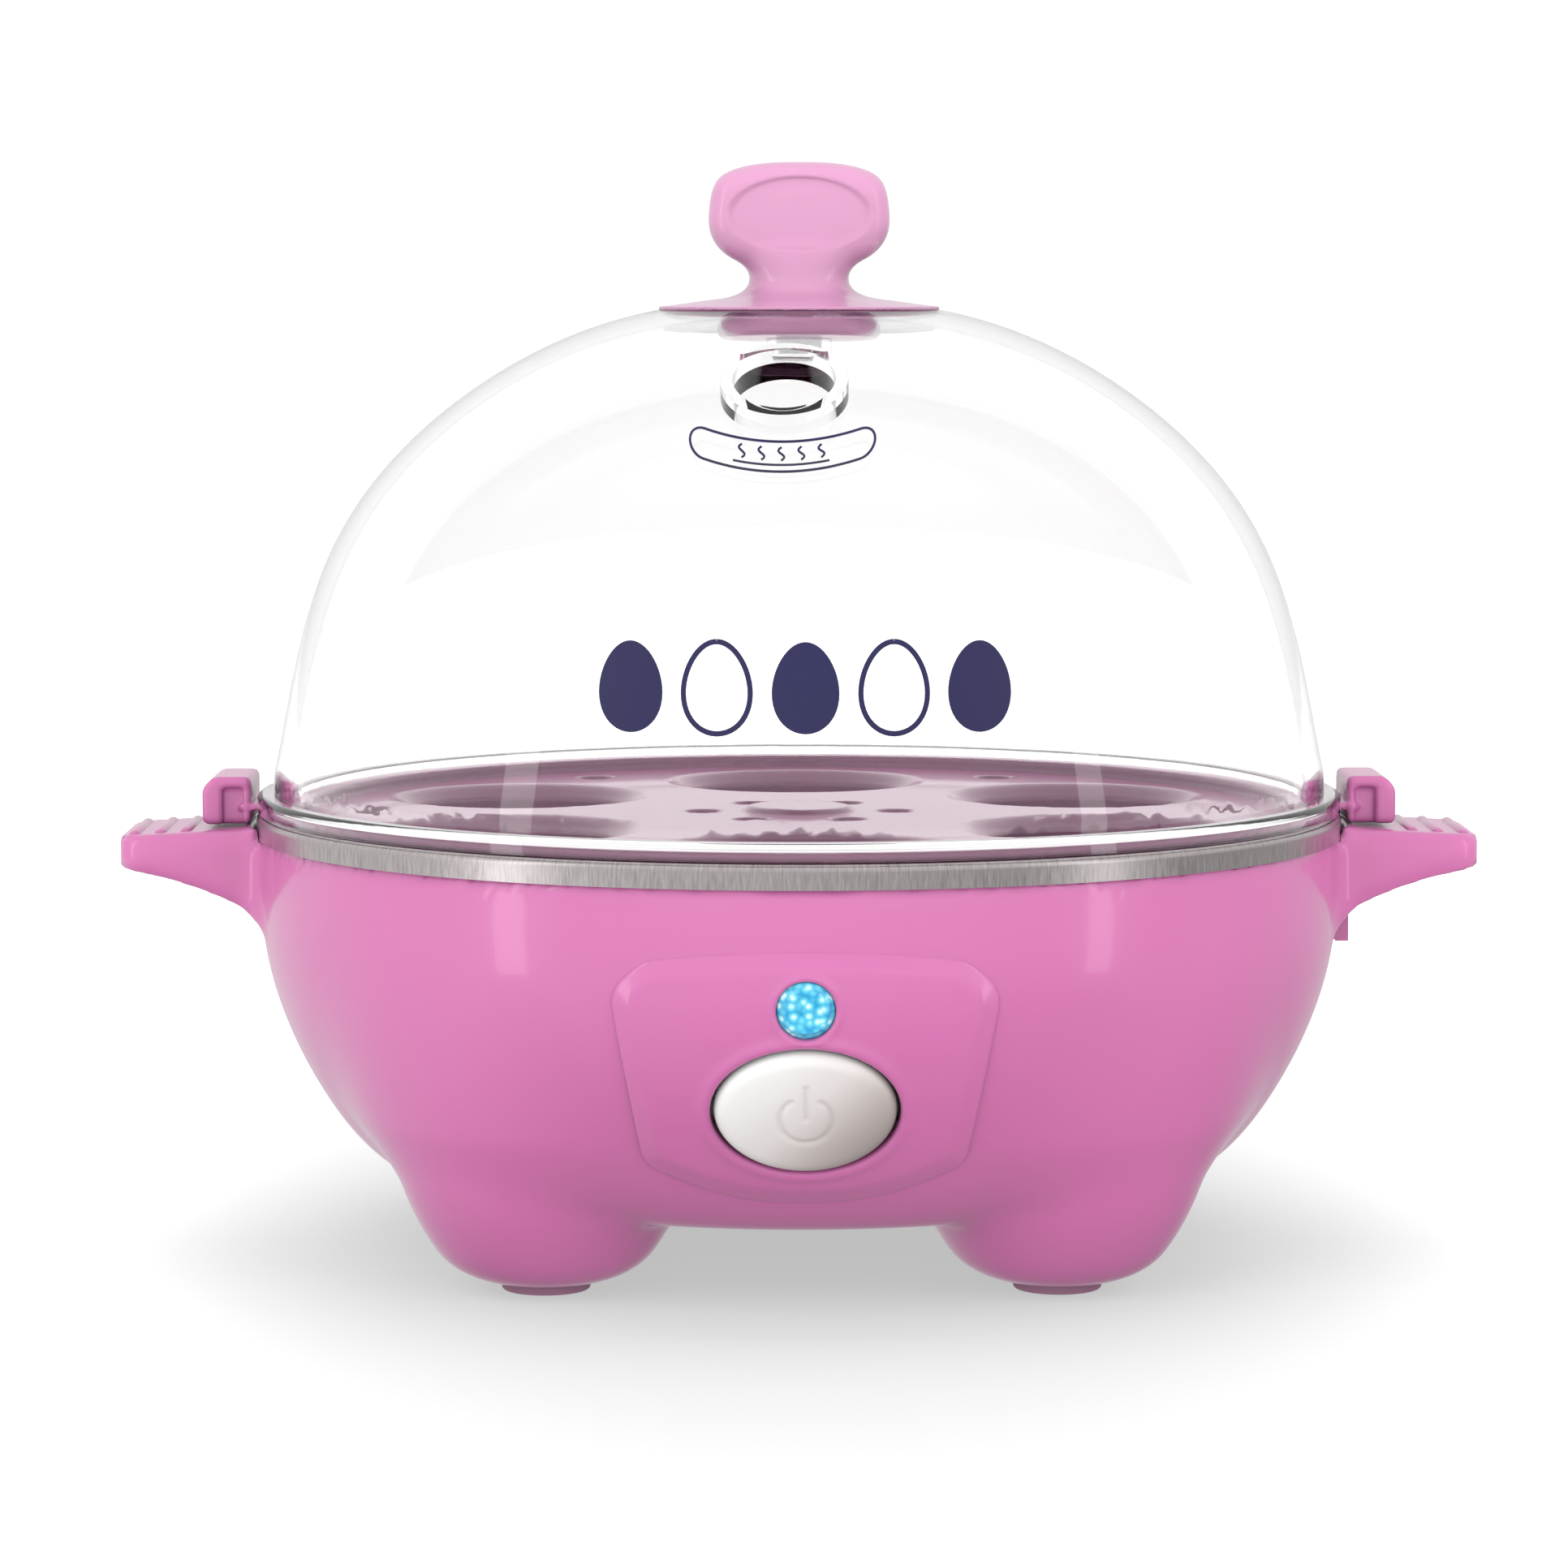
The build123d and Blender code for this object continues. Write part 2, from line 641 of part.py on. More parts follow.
tab_tip = button_plane.from_local_coords((tab_reach, 0, bracket_back - switch_depth - switch_tab - 0.9))
tip_y = tab_tip.Y
tip_z = tab_tip.Z
pin_z = element_height - 1.3
tab_low = spreader_low - 11.1
block_z = terminal_spot.position.Z + 3.5
fuse_z = spreader_low - 2.2
wire(
    "wire_switch_to_block",
    [
        (tab_reach, tip_y, tip_z), (tab_reach, tip_y + 3.2, tip_z + 1.42), (8, -44, 34),
        (13, -36, 24), (13, -2, block_z), (20.5, 12.0, block_z),
    ],
    1.2, 0.8,
)
wire(
    "wire_switch_to_element",
    [
        (-tab_reach, tip_y, tip_z), (-tab_reach, tip_y + 3.2, tip_z + 1.42), (-8, -44, 34),
        (-13, -36, 26), (-11, 22, 27), (-7.6, 29.3, 30), (-7.6, 29.3, pin_z),
    ],
    1.2, 0.8,
)
wire(
    "wire_element_to_thermostat",
    [(7.6, 29.3, pin_z), (7.6, 29.3, 27), (5, 0, 25), (5, 0, tab_low)],
    3.0, 0.8,
)
wire(
    "wire_thermostat_to_fuse",
    [(-5, 0, tab_low), (-5, 0, 22), (-19.5, -13, 22), (-19.5, -13, fuse_z), (-19.5, -9.7, fuse_z)],
    2.0, 0.8,
)
wire(
    "wire_fuse_to_block",
    [
        (-19.5, 9.7, fuse_z), (-19.5, 13, fuse_z), (-19.5, 13, 27),
        (2, 8, block_z), (9, 9, block_z), (16.0, 16.0, block_z),
    ],
    2.0, 0.8,
)
lamp_end = lens_plane.from_local_coords((1.2, 0, -12.1))
for side, name in ((-1, "left"), (1, "right")):
    wire(
        f"lamp_wire_{name}",
        [
            (side * 1.2, lamp_end.Y, lamp_end.Z), (side * 1.2, lamp_end.Y + 3, lamp_end.Z + 0.3),
            (side * 10.5, -56.5, 43.0), (side * 10.5, tip_y - 1.5, tip_z - 0.8),
            (side * 6.1, tip_y - 1.5, tip_z - 0.8),
        ],
        1.5, 0.5,
    )

# ---- Cord hook under the right handle ----

with BuildPart() as cord_hook:
    with BuildSketch(Plane.XZ):
        with BuildLine():
            Polyline(
                (74.2, 50.6), (79.2, 50.6), (79.2, 49.4), (77.2, 47.4),
                (77.2, 43.6), (75.4, 43.6), (74.2, 46.0), close=True,
            )
        make_face()
    extrude(amount=4.5, both=True)
    add(base_housing.part, mode=Mode.SUBTRACT)
save(cord_hook, "cord_hook")

# ---- Egg tray ----

with BuildPart() as egg_tray:
    with BuildSketch(Plane.XZ):
        with BuildLine():
            Polyline(
                (0, deck_top - 1.6), (70.7, deck_top - 1.6), (70.7, tray_rim_low), (tray_radius, tray_rim_low),
                (tray_radius, tray_rim_top), (69.5, tray_rim_top), (69.5, deck_top), (0, deck_top), close=True,
            )
        make_face()
    revolve(axis=Axis.Z)
    with PolarLocations(seat_ring, 6, start_angle=-90):
        with Locations((0, 0, deck_top - 5.0)):
            Cylinder(seat_radius + 1.6, 4.2, align=(Align.CENTER, Align.CENTER, Align.MIN))
    with PolarLocations(seat_ring, 6, start_angle=-90):
        with Locations((0, 0, deck_top - 1.8)):
            Cone(
                seat_radius, seat_radius + 2.4, 1.8,
                align=(Align.CENTER, Align.CENTER, Align.MIN), mode=Mode.SUBTRACT,
            )
        with Locations((0, 0, deck_top - 6)):
            Cylinder(seat_radius, 12, mode=Mode.SUBTRACT)
    with PolarLocations(60.5, 6, start_angle=-60):
        Cylinder(2.5, 200, mode=Mode.SUBTRACT)
    with PolarLocations(13.5, 6, start_angle=-60):
        Cylinder(2.2, 200, mode=Mode.SUBTRACT)
    with BuildSketch(Plane.XY.offset(deck_top)):
        Circle(7.5)
    extrude(amount=0.8)
    # Lift tabs, which pass through the notches in the lid's flange
    for side in (-1, 1):
        with Locations((side * (tab_inner + tray_radius - 2) / 2, 0, tray_rim_low)):
            Box(tab_inner - tray_radius + 4, 2 * tab_half, 1.0, align=(Align.CENTER, Align.CENTER, Align.MIN))
        with BuildSketch(Plane.XZ):
            with BuildLine():
                Polyline(
                    (side * tab_inner, wing_top + gap), (side * tab_inner, tab_top),
                    (side * (tab_outer - 1.6), tab_top), (side * tab_outer, tab_top - 1.6),
                    (side * tab_outer, wing_top + gap), close=True,
                )
            make_face()
        extrude(amount=tab_half, both=True)
        for face in (-1, 1):
            with Locations((side * (tab_inner + 2.55), face * tab_half, wing_top + gap)):
                Box(2.9, 2.0, 10.2, mode=Mode.SUBTRACT)
save(egg_tray, "egg_tray")

# ---- Lid: clear dome with its steam vent ----

turn = radians(vent_turn)
slope = radians(vent_slope)
vent_plane = Plane(
    origin=(vent_reach * sin(turn), -vent_reach * cos(turn), vent_height),
    x_dir=(cos(turn), sin(turn), 0),
    z_dir=(sin(turn) * cos(slope), -cos(turn) * cos(slope), sin(slope)),
)
with BuildPart() as lid_dome:
    with BuildSketch(Plane.XZ):
        inside = [(0, dome_top - wall), *shifted(dome_side, wall)[1:]]
        with BuildLine():
            outer = Spline(dome_side, tangents=((1, 0), (0, -1)))
            inner = Spline(inside, tangents=((1, 0), (0, -1)))
            Polyline(
                dome_side[-1], (flange_radius, dome_side[-1][1]), (flange_radius, flange_low),
                (flange_radius - 1.2, flange_low),
                (flange_radius - 1.2, flange_under), (inside[-1][0], flange_under), inside[-1],
            )
            Line(dome_side[0], inside[0])
        make_face()
    revolve(axis=Axis.Z)
    round_edges = lid_dome.edges().filter_by(GeomType.CIRCLE)
    fillet(round_edges.filter_by(lambda e: abs(e.radius - flange_radius) < 0.01).sort_by(Axis.Z)[-1], 0.8)
    with BuildSketch(vent_plane.offset(-2.0)):
        Circle(collar_radius)
    extrude(amount=3.9)
    with BuildSketch(vent_plane.offset(-8)):
        Circle(vent_radius)
    extrude(amount=16, mode=Mode.SUBTRACT)
    Cylinder(2.3, 400, mode=Mode.SUBTRACT)
    # Notches that let the tray's lift tabs through
    for side in (-1, 1):
        with Locations((side * (flange_radius - 0.6), 0, flange_low - 1)):
            Box(
                4.0, 2 * tab_half + 1.4, flange_under - flange_low + 1,
                align=(Align.CENTER, Align.CENTER, Align.MIN), mode=Mode.SUBTRACT,
            )
save(lid_dome, "lid_dome")

# ---- Knob and its fixing ----

with BuildPart() as knob_neck:
    with BuildSketch(Plane.XZ):
        with BuildLine():
            Line((2.2, dome_top + 0.9), (6.6, dome_top + 0.9))
            Line((6.6, dome_top + 0.9), (6.6, dome_top - 0.1))
            under = Spline((6.6, dome_top - 0.1), (14.0, 132.85), (disc_radius, 131.95))
            Line(under @ 1, (disc_radius, 132.45))
            flare = Spline(
                (disc_radius, 132.45), (12.5, 133.35), (8.2, 134.4), (waist_radius, 136.4), (5.3, 139.5),
                tangents=((-1, 0.08), (-0.3, 1)),
            )
            Polyline(flare @ 1, (2.2, 139.5), (2.2, dome_top + 0.9))
        make_face()
    revolve(axis=Axis.Z)

with BuildPart() as lid_knob:
    with BuildSketch(Plane.XZ):
        with BuildLine():
            half = Spline(
                (0, knob_top), (7.6, 151.9), (11.4, 150.0), (knob_half, 146.5),
                (12.3, 142.4), (10.4, 139.8), (6.3, 137.4),
                tangents=((1, 0), (-0.8, -0.6)),
            )
            Line(half @ 1, (0, 137.4))
            Line((0, 137.4), half @ 0)
        make_face()
        mirror(about=Plane.YZ)
    extrude(amount=knob_thick / 2, both=True)
    fillet(lid_knob.faces().filter_by(Axis.Y).edges().filter_by(lambda e: e.center().Z > 138), 2.4)
    for side in (-1, 1):
        with BuildSketch(Plane.XZ.offset(side * (knob_thick / 2 - 0.5))):
            with Locations((0, 145.4)):
                Ellipse(9.6, 5.0)
        extrude(amount=side * 2, mode=Mode.SUBTRACT)
    add(knob_neck.part)
    add(lid_dome.part, mode=Mode.SUBTRACT)
    Cylinder(2.2, 2 * 144.0, mode=Mode.SUBTRACT)
save(lid_knob, "lid_knob")

with BuildPart() as knob_washer:
    with BuildSketch(Plane.XY.offset(dome_top + 0.03)):
        Circle(6.4)
        Circle(2.4, mode=Mode.SUBTRACT)
    extrude(amount=0.85)
save(knob_washer, "knob_washer")

with BuildPart() as knob_retainer:
    with BuildSketch(Plane.XY.offset(retainer_low)):
        Circle(11.4)
    extrude(amount=2.2)
    fillet(knob_retainer.edges().sort_by(Axis.Z)[0], 1.0)
    Cylinder(2.2, 400, mode=Mode.SUBTRACT)
save(knob_retainer, "knob_retainer")

with BuildPart() as knob_screw:
    with BuildSketch(Plane.XY.offset(retainer_low - 1.8)):
        Circle(3.2)
    extrude(amount=1.8)
    with BuildSketch(Plane.XY.offset(retainer_low - 1.8)):
        Rectangle(3.6, 0.8)
        Rectangle(0.8, 3.6)
    extrude(amount=1.0, mode=Mode.SUBTRACT)
    with BuildSketch(Plane.XY.offset(retainer_low)):
        Circle(2.0)
    extrude(amount=14.0)
save(knob_screw, "knob_screw")

with BuildPart() as screw_cap:
    with BuildSketch(Plane.XY.offset(retainer_low - 2.9)):
        Circle(4.6)
    extrude(amount=2.9)
    fillet(screw_cap.edges().sort_by(Axis.Z)[0], 0.8)
    with BuildSketch(Plane.XY.offset(retainer_low - 1.9)):
        Circle(3.4)
    extrude(amount=2.2, mode=Mode.SUBTRACT)
save(screw_cap, "screw_cap")
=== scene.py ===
import json
from math import cos, pi, radians, sin

import bpy
import numpy as np
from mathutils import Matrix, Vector


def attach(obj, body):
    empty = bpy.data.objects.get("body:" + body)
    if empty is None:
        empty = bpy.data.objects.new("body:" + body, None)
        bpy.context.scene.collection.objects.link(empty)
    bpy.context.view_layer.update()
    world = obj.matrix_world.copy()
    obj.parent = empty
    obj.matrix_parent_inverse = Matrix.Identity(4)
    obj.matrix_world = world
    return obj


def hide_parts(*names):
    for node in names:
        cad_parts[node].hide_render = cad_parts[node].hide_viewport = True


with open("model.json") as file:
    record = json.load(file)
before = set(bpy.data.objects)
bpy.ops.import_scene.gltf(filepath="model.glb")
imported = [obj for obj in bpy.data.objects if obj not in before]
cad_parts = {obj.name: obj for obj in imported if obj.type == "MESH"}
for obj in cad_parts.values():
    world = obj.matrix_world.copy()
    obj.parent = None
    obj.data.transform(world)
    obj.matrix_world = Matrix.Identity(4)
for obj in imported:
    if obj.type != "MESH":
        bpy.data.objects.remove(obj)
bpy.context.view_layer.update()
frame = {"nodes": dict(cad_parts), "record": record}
nodes = frame["nodes"]
scene = bpy.context.scene
MM = 0.001

# ---- Camera, floor and light ----

camera_data = bpy.data.cameras.new("camera")
camera_data.lens = 123.5
camera_data.sensor_width = 36.0
camera_data.clip_start = 0.01
camera = bpy.data.objects.new("camera", camera_data)
scene.collection.objects.link(camera)
scene.camera = camera
camera_turn = radians(-0.69)
camera_distance = 0.755
camera_height = 0.1353
camera.location = (camera_distance * sin(camera_turn), -camera_distance * cos(camera_turn), camera_height)
aim = Vector((-0.0021, 0.0, 0.0654))
camera.rotation_mode = "QUATERNION"
camera.rotation_quaternion = (aim - camera.location).to_track_quat("-Z", "Y")

scene.view_settings.view_transform = "Standard"
scene.view_settings.look = "None"
scene.cycles.diffuse_bounces = 0

world = bpy.data.worlds.new("studio")
scene.world = world
world.use_nodes = True
sky = world.node_tree
surround = sky.nodes["Background"]
surround.inputs["Color"].default_value = (1.0, 0.99, 0.995, 1.0)
surround.inputs["Strength"].default_value = 0.64
backdrop = sky.nodes.new("ShaderNodeBackground")
backdrop.inputs["Strength"].default_value = 1.35
mirrored_room = sky.nodes.new("ShaderNodeBackground")
direction = sky.nodes.new("ShaderNodeTexCoord")
parts = sky.nodes.new("ShaderNodeSeparateXYZ")
sky.links.new(direction.outputs["Generated"], parts.inputs["Vector"])
slant = sky.nodes.new("ShaderNodeMath")
slant.operation = "MULTIPLY_ADD"
slant.inputs[1].default_value = -0.35
sky.links.new(parts.outputs["X"], slant.inputs[0])
sky.links.new(parts.outputs["Z"], slant.inputs[2])
level = sky.nodes.new("ShaderNodeMapRange")
level.inputs["From Min"].default_value = -1.2
level.inputs["From Max"].default_value = 1.2
sky.links.new(slant.outputs["Value"], level.inputs["Value"])
tones = sky.nodes.new("ShaderNodeValToRGB")
room_low, room_high, room_middle = (0.22, 0.25), (0.74, 1.2), (0.46, 0.8)
elements = tones.color_ramp.elements
for element, (place, tone) in zip(
    [elements[0], elements[1], elements.new(0.45)],
    [room_low, room_high, room_middle],
):
    element.position = place
    element.color = (tone, tone, tone, 1.0)
sky.links.new(level.outputs["Result"], tones.inputs["Fac"])
sky.links.new(tones.outputs["Color"], mirrored_room.inputs["Color"])
seen = sky.nodes.new("ShaderNodeLightPath")
glossy = sky.nodes.new("ShaderNodeMixShader")
sky.links.new(seen.outputs["Is Glossy Ray"], glossy.inputs["Fac"])
sky.links.new(surround.outputs["Background"], glossy.inputs[1])
sky.links.new(mirrored_room.outputs["Background"], glossy.inputs[2])
direct = sky.nodes.new("ShaderNodeMath")
direct.operation = "MAXIMUM"
sky.links.new(seen.outputs["Is Camera Ray"], direct.inputs[0])
sky.links.new(seen.outputs["Is Transmission Ray"], direct.inputs[1])
choose = sky.nodes.new("ShaderNodeMixShader")
sky.links.new(direct.outputs["Value"], choose.inputs["Fac"])
sky.links.new(glossy.outputs["Shader"], choose.inputs[1])
sky.links.new(backdrop.outputs["Background"], choose.inputs[2])
sky.links.new(choose.outputs["Shader"], sky.nodes["World Output"].inputs["Surface"])


def softbox(name, place, width, height, power, shows=True, target=(0, 0, 0.06)):
    """Rectangular lamp. One that doesn't show lights the object but isn't mirrored in it."""
    data = bpy.data.lights.new(name, "AREA")
    data.shape = "RECTANGLE"
    data.size = width
    data.size_y = height
    data.energy = power
    lamp = bpy.data.objects.new(name, data)
    scene.collection.objects.link(lamp)
    lamp.location = place
    lamp.rotation_mode = "QUATERNION"
    lamp.rotation_quaternion = (Vector(target) - Vector(place)).to_track_quat("-Z", "Y")
    lamp.visible_glossy = shows
    lamp.visible_transmission = False
    return lamp


softbox("key", (-0.5, -0.9, 0.9), 0.8, 0.8, 2.1, False)
softbox("fill", (0.8, -0.8, 0.6), 0.7, 0.7, 1.3, False)
softbox("top", (0.0, 0.1, 1.2), 1.0, 0.8, 3.4, False)
softbox("low_front", (0.0, -1.0, 0.16), 1.3, 0.28, 2.7, False, (0, 0, 0.03))
softbox("strip_left", (-0.75, -0.42, 0.25), 0.12, 0.9, 0.9)
softbox("strip_right", (0.8, -0.42, 0.25), 0.10, 0.9, 0.7)

# ---- Node materials ----


class Maker:
    """Builds one node material, step by step."""

    def __init__(self, name, **sockets):
        self.material = bpy.data.materials.new(name)
        self.material.use_nodes = True
        self.tree = self.material.node_tree
        self.shader = self.tree.nodes["Principled BSDF"]
        self.output = self.tree.nodes["Material Output"]
        for socket, value in sockets.items():
            self.shader.inputs[socket.replace("_", " ")].default_value = value

    def node(self, kind, **settings):
        made = self.tree.nodes.new(kind)
        for key, value in settings.items():
            setattr(made, key, value)
        return made

    def link(self, a, b):
        self.tree.links.new(a, b)

    def coordinates(self, stretch=(1, 1, 1)):
        source = self.node("ShaderNodeTexCoord")
        mapping = self.node("ShaderNodeMapping")
        mapping.inputs["Scale"].default_value = stretch
        self.link(source.outputs["Object"], mapping.inputs["Vector"])
        return mapping.outputs["Vector"]

    def noise(self, scale, detail=3.0, stretch=(1, 1, 1), vector=None):
        made = self.node("ShaderNodeTexNoise")
        made.inputs["Scale"].default_value = scale
        made.inputs["Detail"].default_value = detail
        self.link(vector or self.coordinates(stretch), made.inputs["Vector"])
        return made.outputs["Fac"]

    def ramp(self, value, stops):
        made = self.node("ShaderNodeValToRGB")
        elements = made.color_ramp.elements
        while len(elements) < len(stops):
            elements.new(0.5)
        for element, (place, colour) in zip(elements, stops):
            element.position = place
            element.color = (*colour, 1.0) if len(colour) == 3 else colour
        self.link(value, made.inputs["Fac"])
        return made.outputs["Color"]

    def spread(self, value, low, high):
        made = self.node("ShaderNodeMapRange")
        made.inputs["To Min"].default_value = low
        made.inputs["To Max"].default_value = high
        made.inputs["From Min"].default_value = 0.1
        made.inputs["From Max"].default_value = 0.9
        self.link(value, made.inputs["Value"])
        return made.outputs["Result"]

    def colour(self, socket):
        self.link(socket, self.shader.inputs["Base Color"])

    def roughness(self, socket):
        self.link(socket, self.shader.inputs["Roughness"])

    def bump(self, height, strength, distance):
        made = self.node("ShaderNodeBump")
        made.inputs["Strength"].default_value = strength
        made.inputs["Distance"].default_value = distance
        self.link(height, made.inputs["Height"])
        self.link(made.outputs["Normal"], self.shader.inputs["Normal"])


def linear(r, g, b):
    """sRGB 0-255 to the linear values that shaders use."""
    return tuple(
        c / 255 / 12.92 if c / 255 <= 0.04045 else ((c / 255 + 0.055) / 1.055) ** 2.4 for c in (r, g, b)
    )


def moulded(name, colour, low=0.272, high=0.282, vary=0.02, grain=2500.0, coat=0.5):
    """Moulded plastic: slight flow marks in the colour, a fine skin in roughness and bump."""
    m = Maker(name, IOR=1.5)
    m.shader.inputs["Coat Weight"].default_value = coat
    m.shader.inputs["Coat Roughness"].default_value = 0.07
    dark = tuple(c * (1 - vary) for c in colour)
    light = tuple(min(1, c * (1 + vary)) for c in colour)
    m.colour(m.ramp(m.noise(14.0, 1.0, (1, 1, 0.6)), [(0.0, dark), (1.0, light)]))
    m.roughness(m.spread(m.noise(40.0, 1.0), low, high))
    m.bump(m.noise(grain, 1.0), 0.03, 0.00005)
    return m.material


pink = moulded("pink_plastic", linear(213, 115, 176))
pink_pale = moulded("pink_plastic_knob", linear(224, 158, 199))
rubber = moulded("foot_rubber", linear(158, 112, 138), 0.6, 0.75, 0.08, 1500.0, 0.0)
gland = moulded("gland_rubber", linear(200, 110, 165), 0.5, 0.65, 0.06, 1500.0, 0.0)
silicone = moulded("silicone", linear(226, 224, 218), 0.4, 0.55, 0.04, 1200.0, 0.0)
ivory = moulded("ivory_plastic", linear(226, 218, 198), 0.35, 0.5, 0.05, 900.0, 0.0)
black = moulded("black_plastic", linear(38, 38, 40), 0.35, 0.5, 0.2, 900.0, 0.0)


def metal(name, dark, light, low, high, scale, stretch, strength=0.15, anisotropic=0.0):
    m = Maker(name, Metallic=1.0)
    m.shader.inputs["Anisotropic"].default_value = anisotropic
    streaks = m.noise(scale, 4.0, stretch)
    m.colour(m.ramp(streaks, [(0.3, dark), (0.7, light)]))
    m.roughness(m.spread(m.noise(scale * 0.6, 3.0, stretch), low, high))
    m.bump(streaks, strength, 0.0001)
    return m.material


zinc = metal("zinc_steel", linear(168, 170, 172), linear(206, 207, 208), 0.25, 0.4, 500.0, (1, 1, 1))
aluminium = metal("aluminium", linear(190, 192, 195), linear(222, 223, 225), 0.3, 0.42, 300.0, (1, 1, 6))
sheath = metal("element_sheath", linear(82, 76, 70), linear(134, 128, 120), 0.4, 0.6, 140.0, (1, 1, 1))


def braid(name, colour):
    """Woven glass sleeve on the wires."""
    m = Maker(name, Roughness=0.75)
    wave = m.node("ShaderNodeTexWave", wave_type="BANDS", bands_direction="DIAGONAL")
    wave.inputs["Scale"].default_value = 900.0
    wave.inputs["Distortion"].default_value = 1.5
    m.link(m.coordinates(), wave.inputs["Vector"])
    dark = tuple(c * 0.8 for c in colour)
    m.colour(m.ramp(wave.outputs["Fac"], [(0.2, dark), (0.8, colour)]))
    m.bump(wave.outputs["Fac"], 0.5, 0.0002)
    return m.material


wire_sheath = braid("wire_sheath", linear(226, 224, 216))


def brushed_steel():
    """Rim and dish: streaks run upright round the rim and round the dish inside."""
    m = Maker("stainless", Metallic=1.0)
    source = m.node("ShaderNodeTexCoord")
    split = m.node("ShaderNodeSeparateXYZ")
    m.link(source.outputs["Object"], split.inputs["Vector"])
    angle = m.node("ShaderNodeMath", operation="ARCTAN2")
    m.link(split.outputs["Y"], angle.inputs[0])
    m.link(split.outputs["X"], angle.inputs[1])
    round_it = m.node("ShaderNodeCombineXYZ")
    m.link(angle.outputs["Value"], round_it.inputs["X"])
    m.link(split.outputs["Z"], round_it.inputs["Y"])
    stretch = m.node("ShaderNodeMapping")
    stretch.inputs["Scale"].default_value = (60.0, 90.0, 1.0)
    m.link(round_it.outputs["Vector"], stretch.inputs["Vector"])
    streaks = m.noise(4.0, 6.0, vector=stretch.outputs["Vector"])
    m.colour(m.ramp(streaks, [(0.3, linear(168, 160, 161)), (0.7, linear(204, 197, 197))]))
    m.roughness(m.spread(streaks, 0.24, 0.36))
    m.bump(streaks, 0.06, 0.0001)
    return m.material


stainless = brushed_steel()


def satin_silver():
    """Silver lacquer on the button. Reflection is painted into its colour: a painted highlight at the upper
    left, painted shade towards the lower right.
    """
    painted_sheen_fall = 25.0  # how quickly the painted highlight falls to painted shade, per metre
    button_middle = 0.0295  # height of the button's middle
    m = Maker("satin_silver", Metallic=0.05, IOR=1.5)
    source = m.node("ShaderNodeTexCoord")
    # Painted reflection: the tone is set by place on the button, lighter up and to the left
    place = m.node("ShaderNodeVectorMath", operation="DOT_PRODUCT")
    place.inputs[1].default_value = (-painted_sheen_fall, 0.0, painted_sheen_fall)
    m.link(source.outputs["Object"], place.inputs[0])
    painted_sheen_level = m.node("ShaderNodeMath", operation="ADD")
    painted_sheen_level.inputs[1].default_value = 0.5 - painted_sheen_fall * button_middle
    m.link(place.outputs["Value"], painted_sheen_level.inputs[0])
    # Tones run from painted shade (low) to painted highlight (high)
    stops = [(0.1, linear(148, 137, 133)), (0.28, linear(192, 181, 178)),
             (0.5, linear(234, 227, 225)), (0.8, linear(253, 252, 251))]
    m.colour(m.ramp(painted_sheen_level.outputs["Value"], stops))
    m.roughness(m.spread(m.noise(160.0, 3.0), 0.3, 0.38))
    m.bump(m.noise(2500.0, 2.0), 0.08, 0.0001)
    return m.material


silver = satin_silver()


def clear(name, tint, low, high, attenuate):
    """Clear moulded plastic. Shadow rays pass with a slight loss, so that what is inside stays lit."""
    m = Maker(name, IOR=1.49)
    m.shader.inputs["Transmission Weight"].default_value = 1.0
    m.colour(m.ramp(m.noise(9.0, 2.0), [(0.3, tint), (0.7, tuple(min(1, c * 1.01) for c in tint))]))
    m.roughness(m.spread(m.noise(30.0, 3.0), low, high))
    light_path = m.node("ShaderNodeLightPath")
    through = m.node("ShaderNodeBsdfTransparent")
    through.inputs["Color"].default_value = (*attenuate, 1.0)
    mix = m.node("ShaderNodeMixShader")
    m.link(light_path.outputs["Is Shadow Ray"], mix.inputs["Fac"])
    m.link(m.shader.outputs["BSDF"], mix.inputs[1])
    m.link(through.outputs["BSDF"], mix.inputs[2])
    m.link(mix.outputs["Shader"], m.output.inputs["Surface"])
    return m.material


dome_clear = clear("clear_plastic", (0.99, 0.99, 0.99), 0.0, 0.004, (0.975, 0.975, 0.975))
lamp_clear = clear("lamp_glass", (0.95, 0.98, 1.0), 0.0, 0.03, (0.9, 0.95, 1.0))


def jewel():
    """Lit cyan lens, cracked like ice: cells that each catch the lamp differently."""
    m = Maker("blue_lens", IOR=1.5)
    cells = m.node("ShaderNodeTexVoronoi")
    cells.inputs["Scale"].default_value = 950.0
    m.link(m.coordinates(), cells.inputs["Vector"])
    tone = m.ramp(
        cells.outputs["Distance"],
        [(0.12, linear(214, 244, 250)), (0.4, linear(96, 200, 224)), (0.8, linear(30, 150, 198))],
    )
    m.colour(tone)
    m.link(tone, m.shader.inputs["Emission Color"])
    m.shader.inputs["Emission Strength"].default_value = 0.35
    m.shader.inputs["Coat Weight"].default_value = 0.8
    m.roughness(m.spread(m.noise(300.0), 0.08, 0.2))
    m.bump(cells.outputs["Distance"], 0.6, 0.0004)
    return m.material


blue_lens = jewel()
ink = moulded("navy_print", linear(26, 23, 74), 0.4, 0.55, 0.06, 1800.0, 0.0)

slot_materials = {
    "pink_plastic": pink, "clear_plastic": dome_clear, "stainless": stainless, "satin_silver": silver,
    "blue_lens": blue_lens, "lamp_glass": lamp_clear, "foot_rubber": rubber, "gland_rubber": gland,
    "silicone": silicone, "zinc_steel": zinc, "aluminium": aluminium, "element_sheath": sheath,
    "wire_sheath": wire_sheath, "ivory_plastic": ivory, "black_plastic": black,
}
slot_of = {part["node"]: part["material_slot"] for part in frame["record"]["subparts"]}


def paint(thing, material):
    thing.data.materials.clear()
    thing.data.materials.append(material)


for name, thing in nodes.items():
    paint(thing, slot_materials[slot_of[name]])
paint(nodes["lid_knob"], pink_pale)
paint(nodes["knob_retainer"], pink_pale)


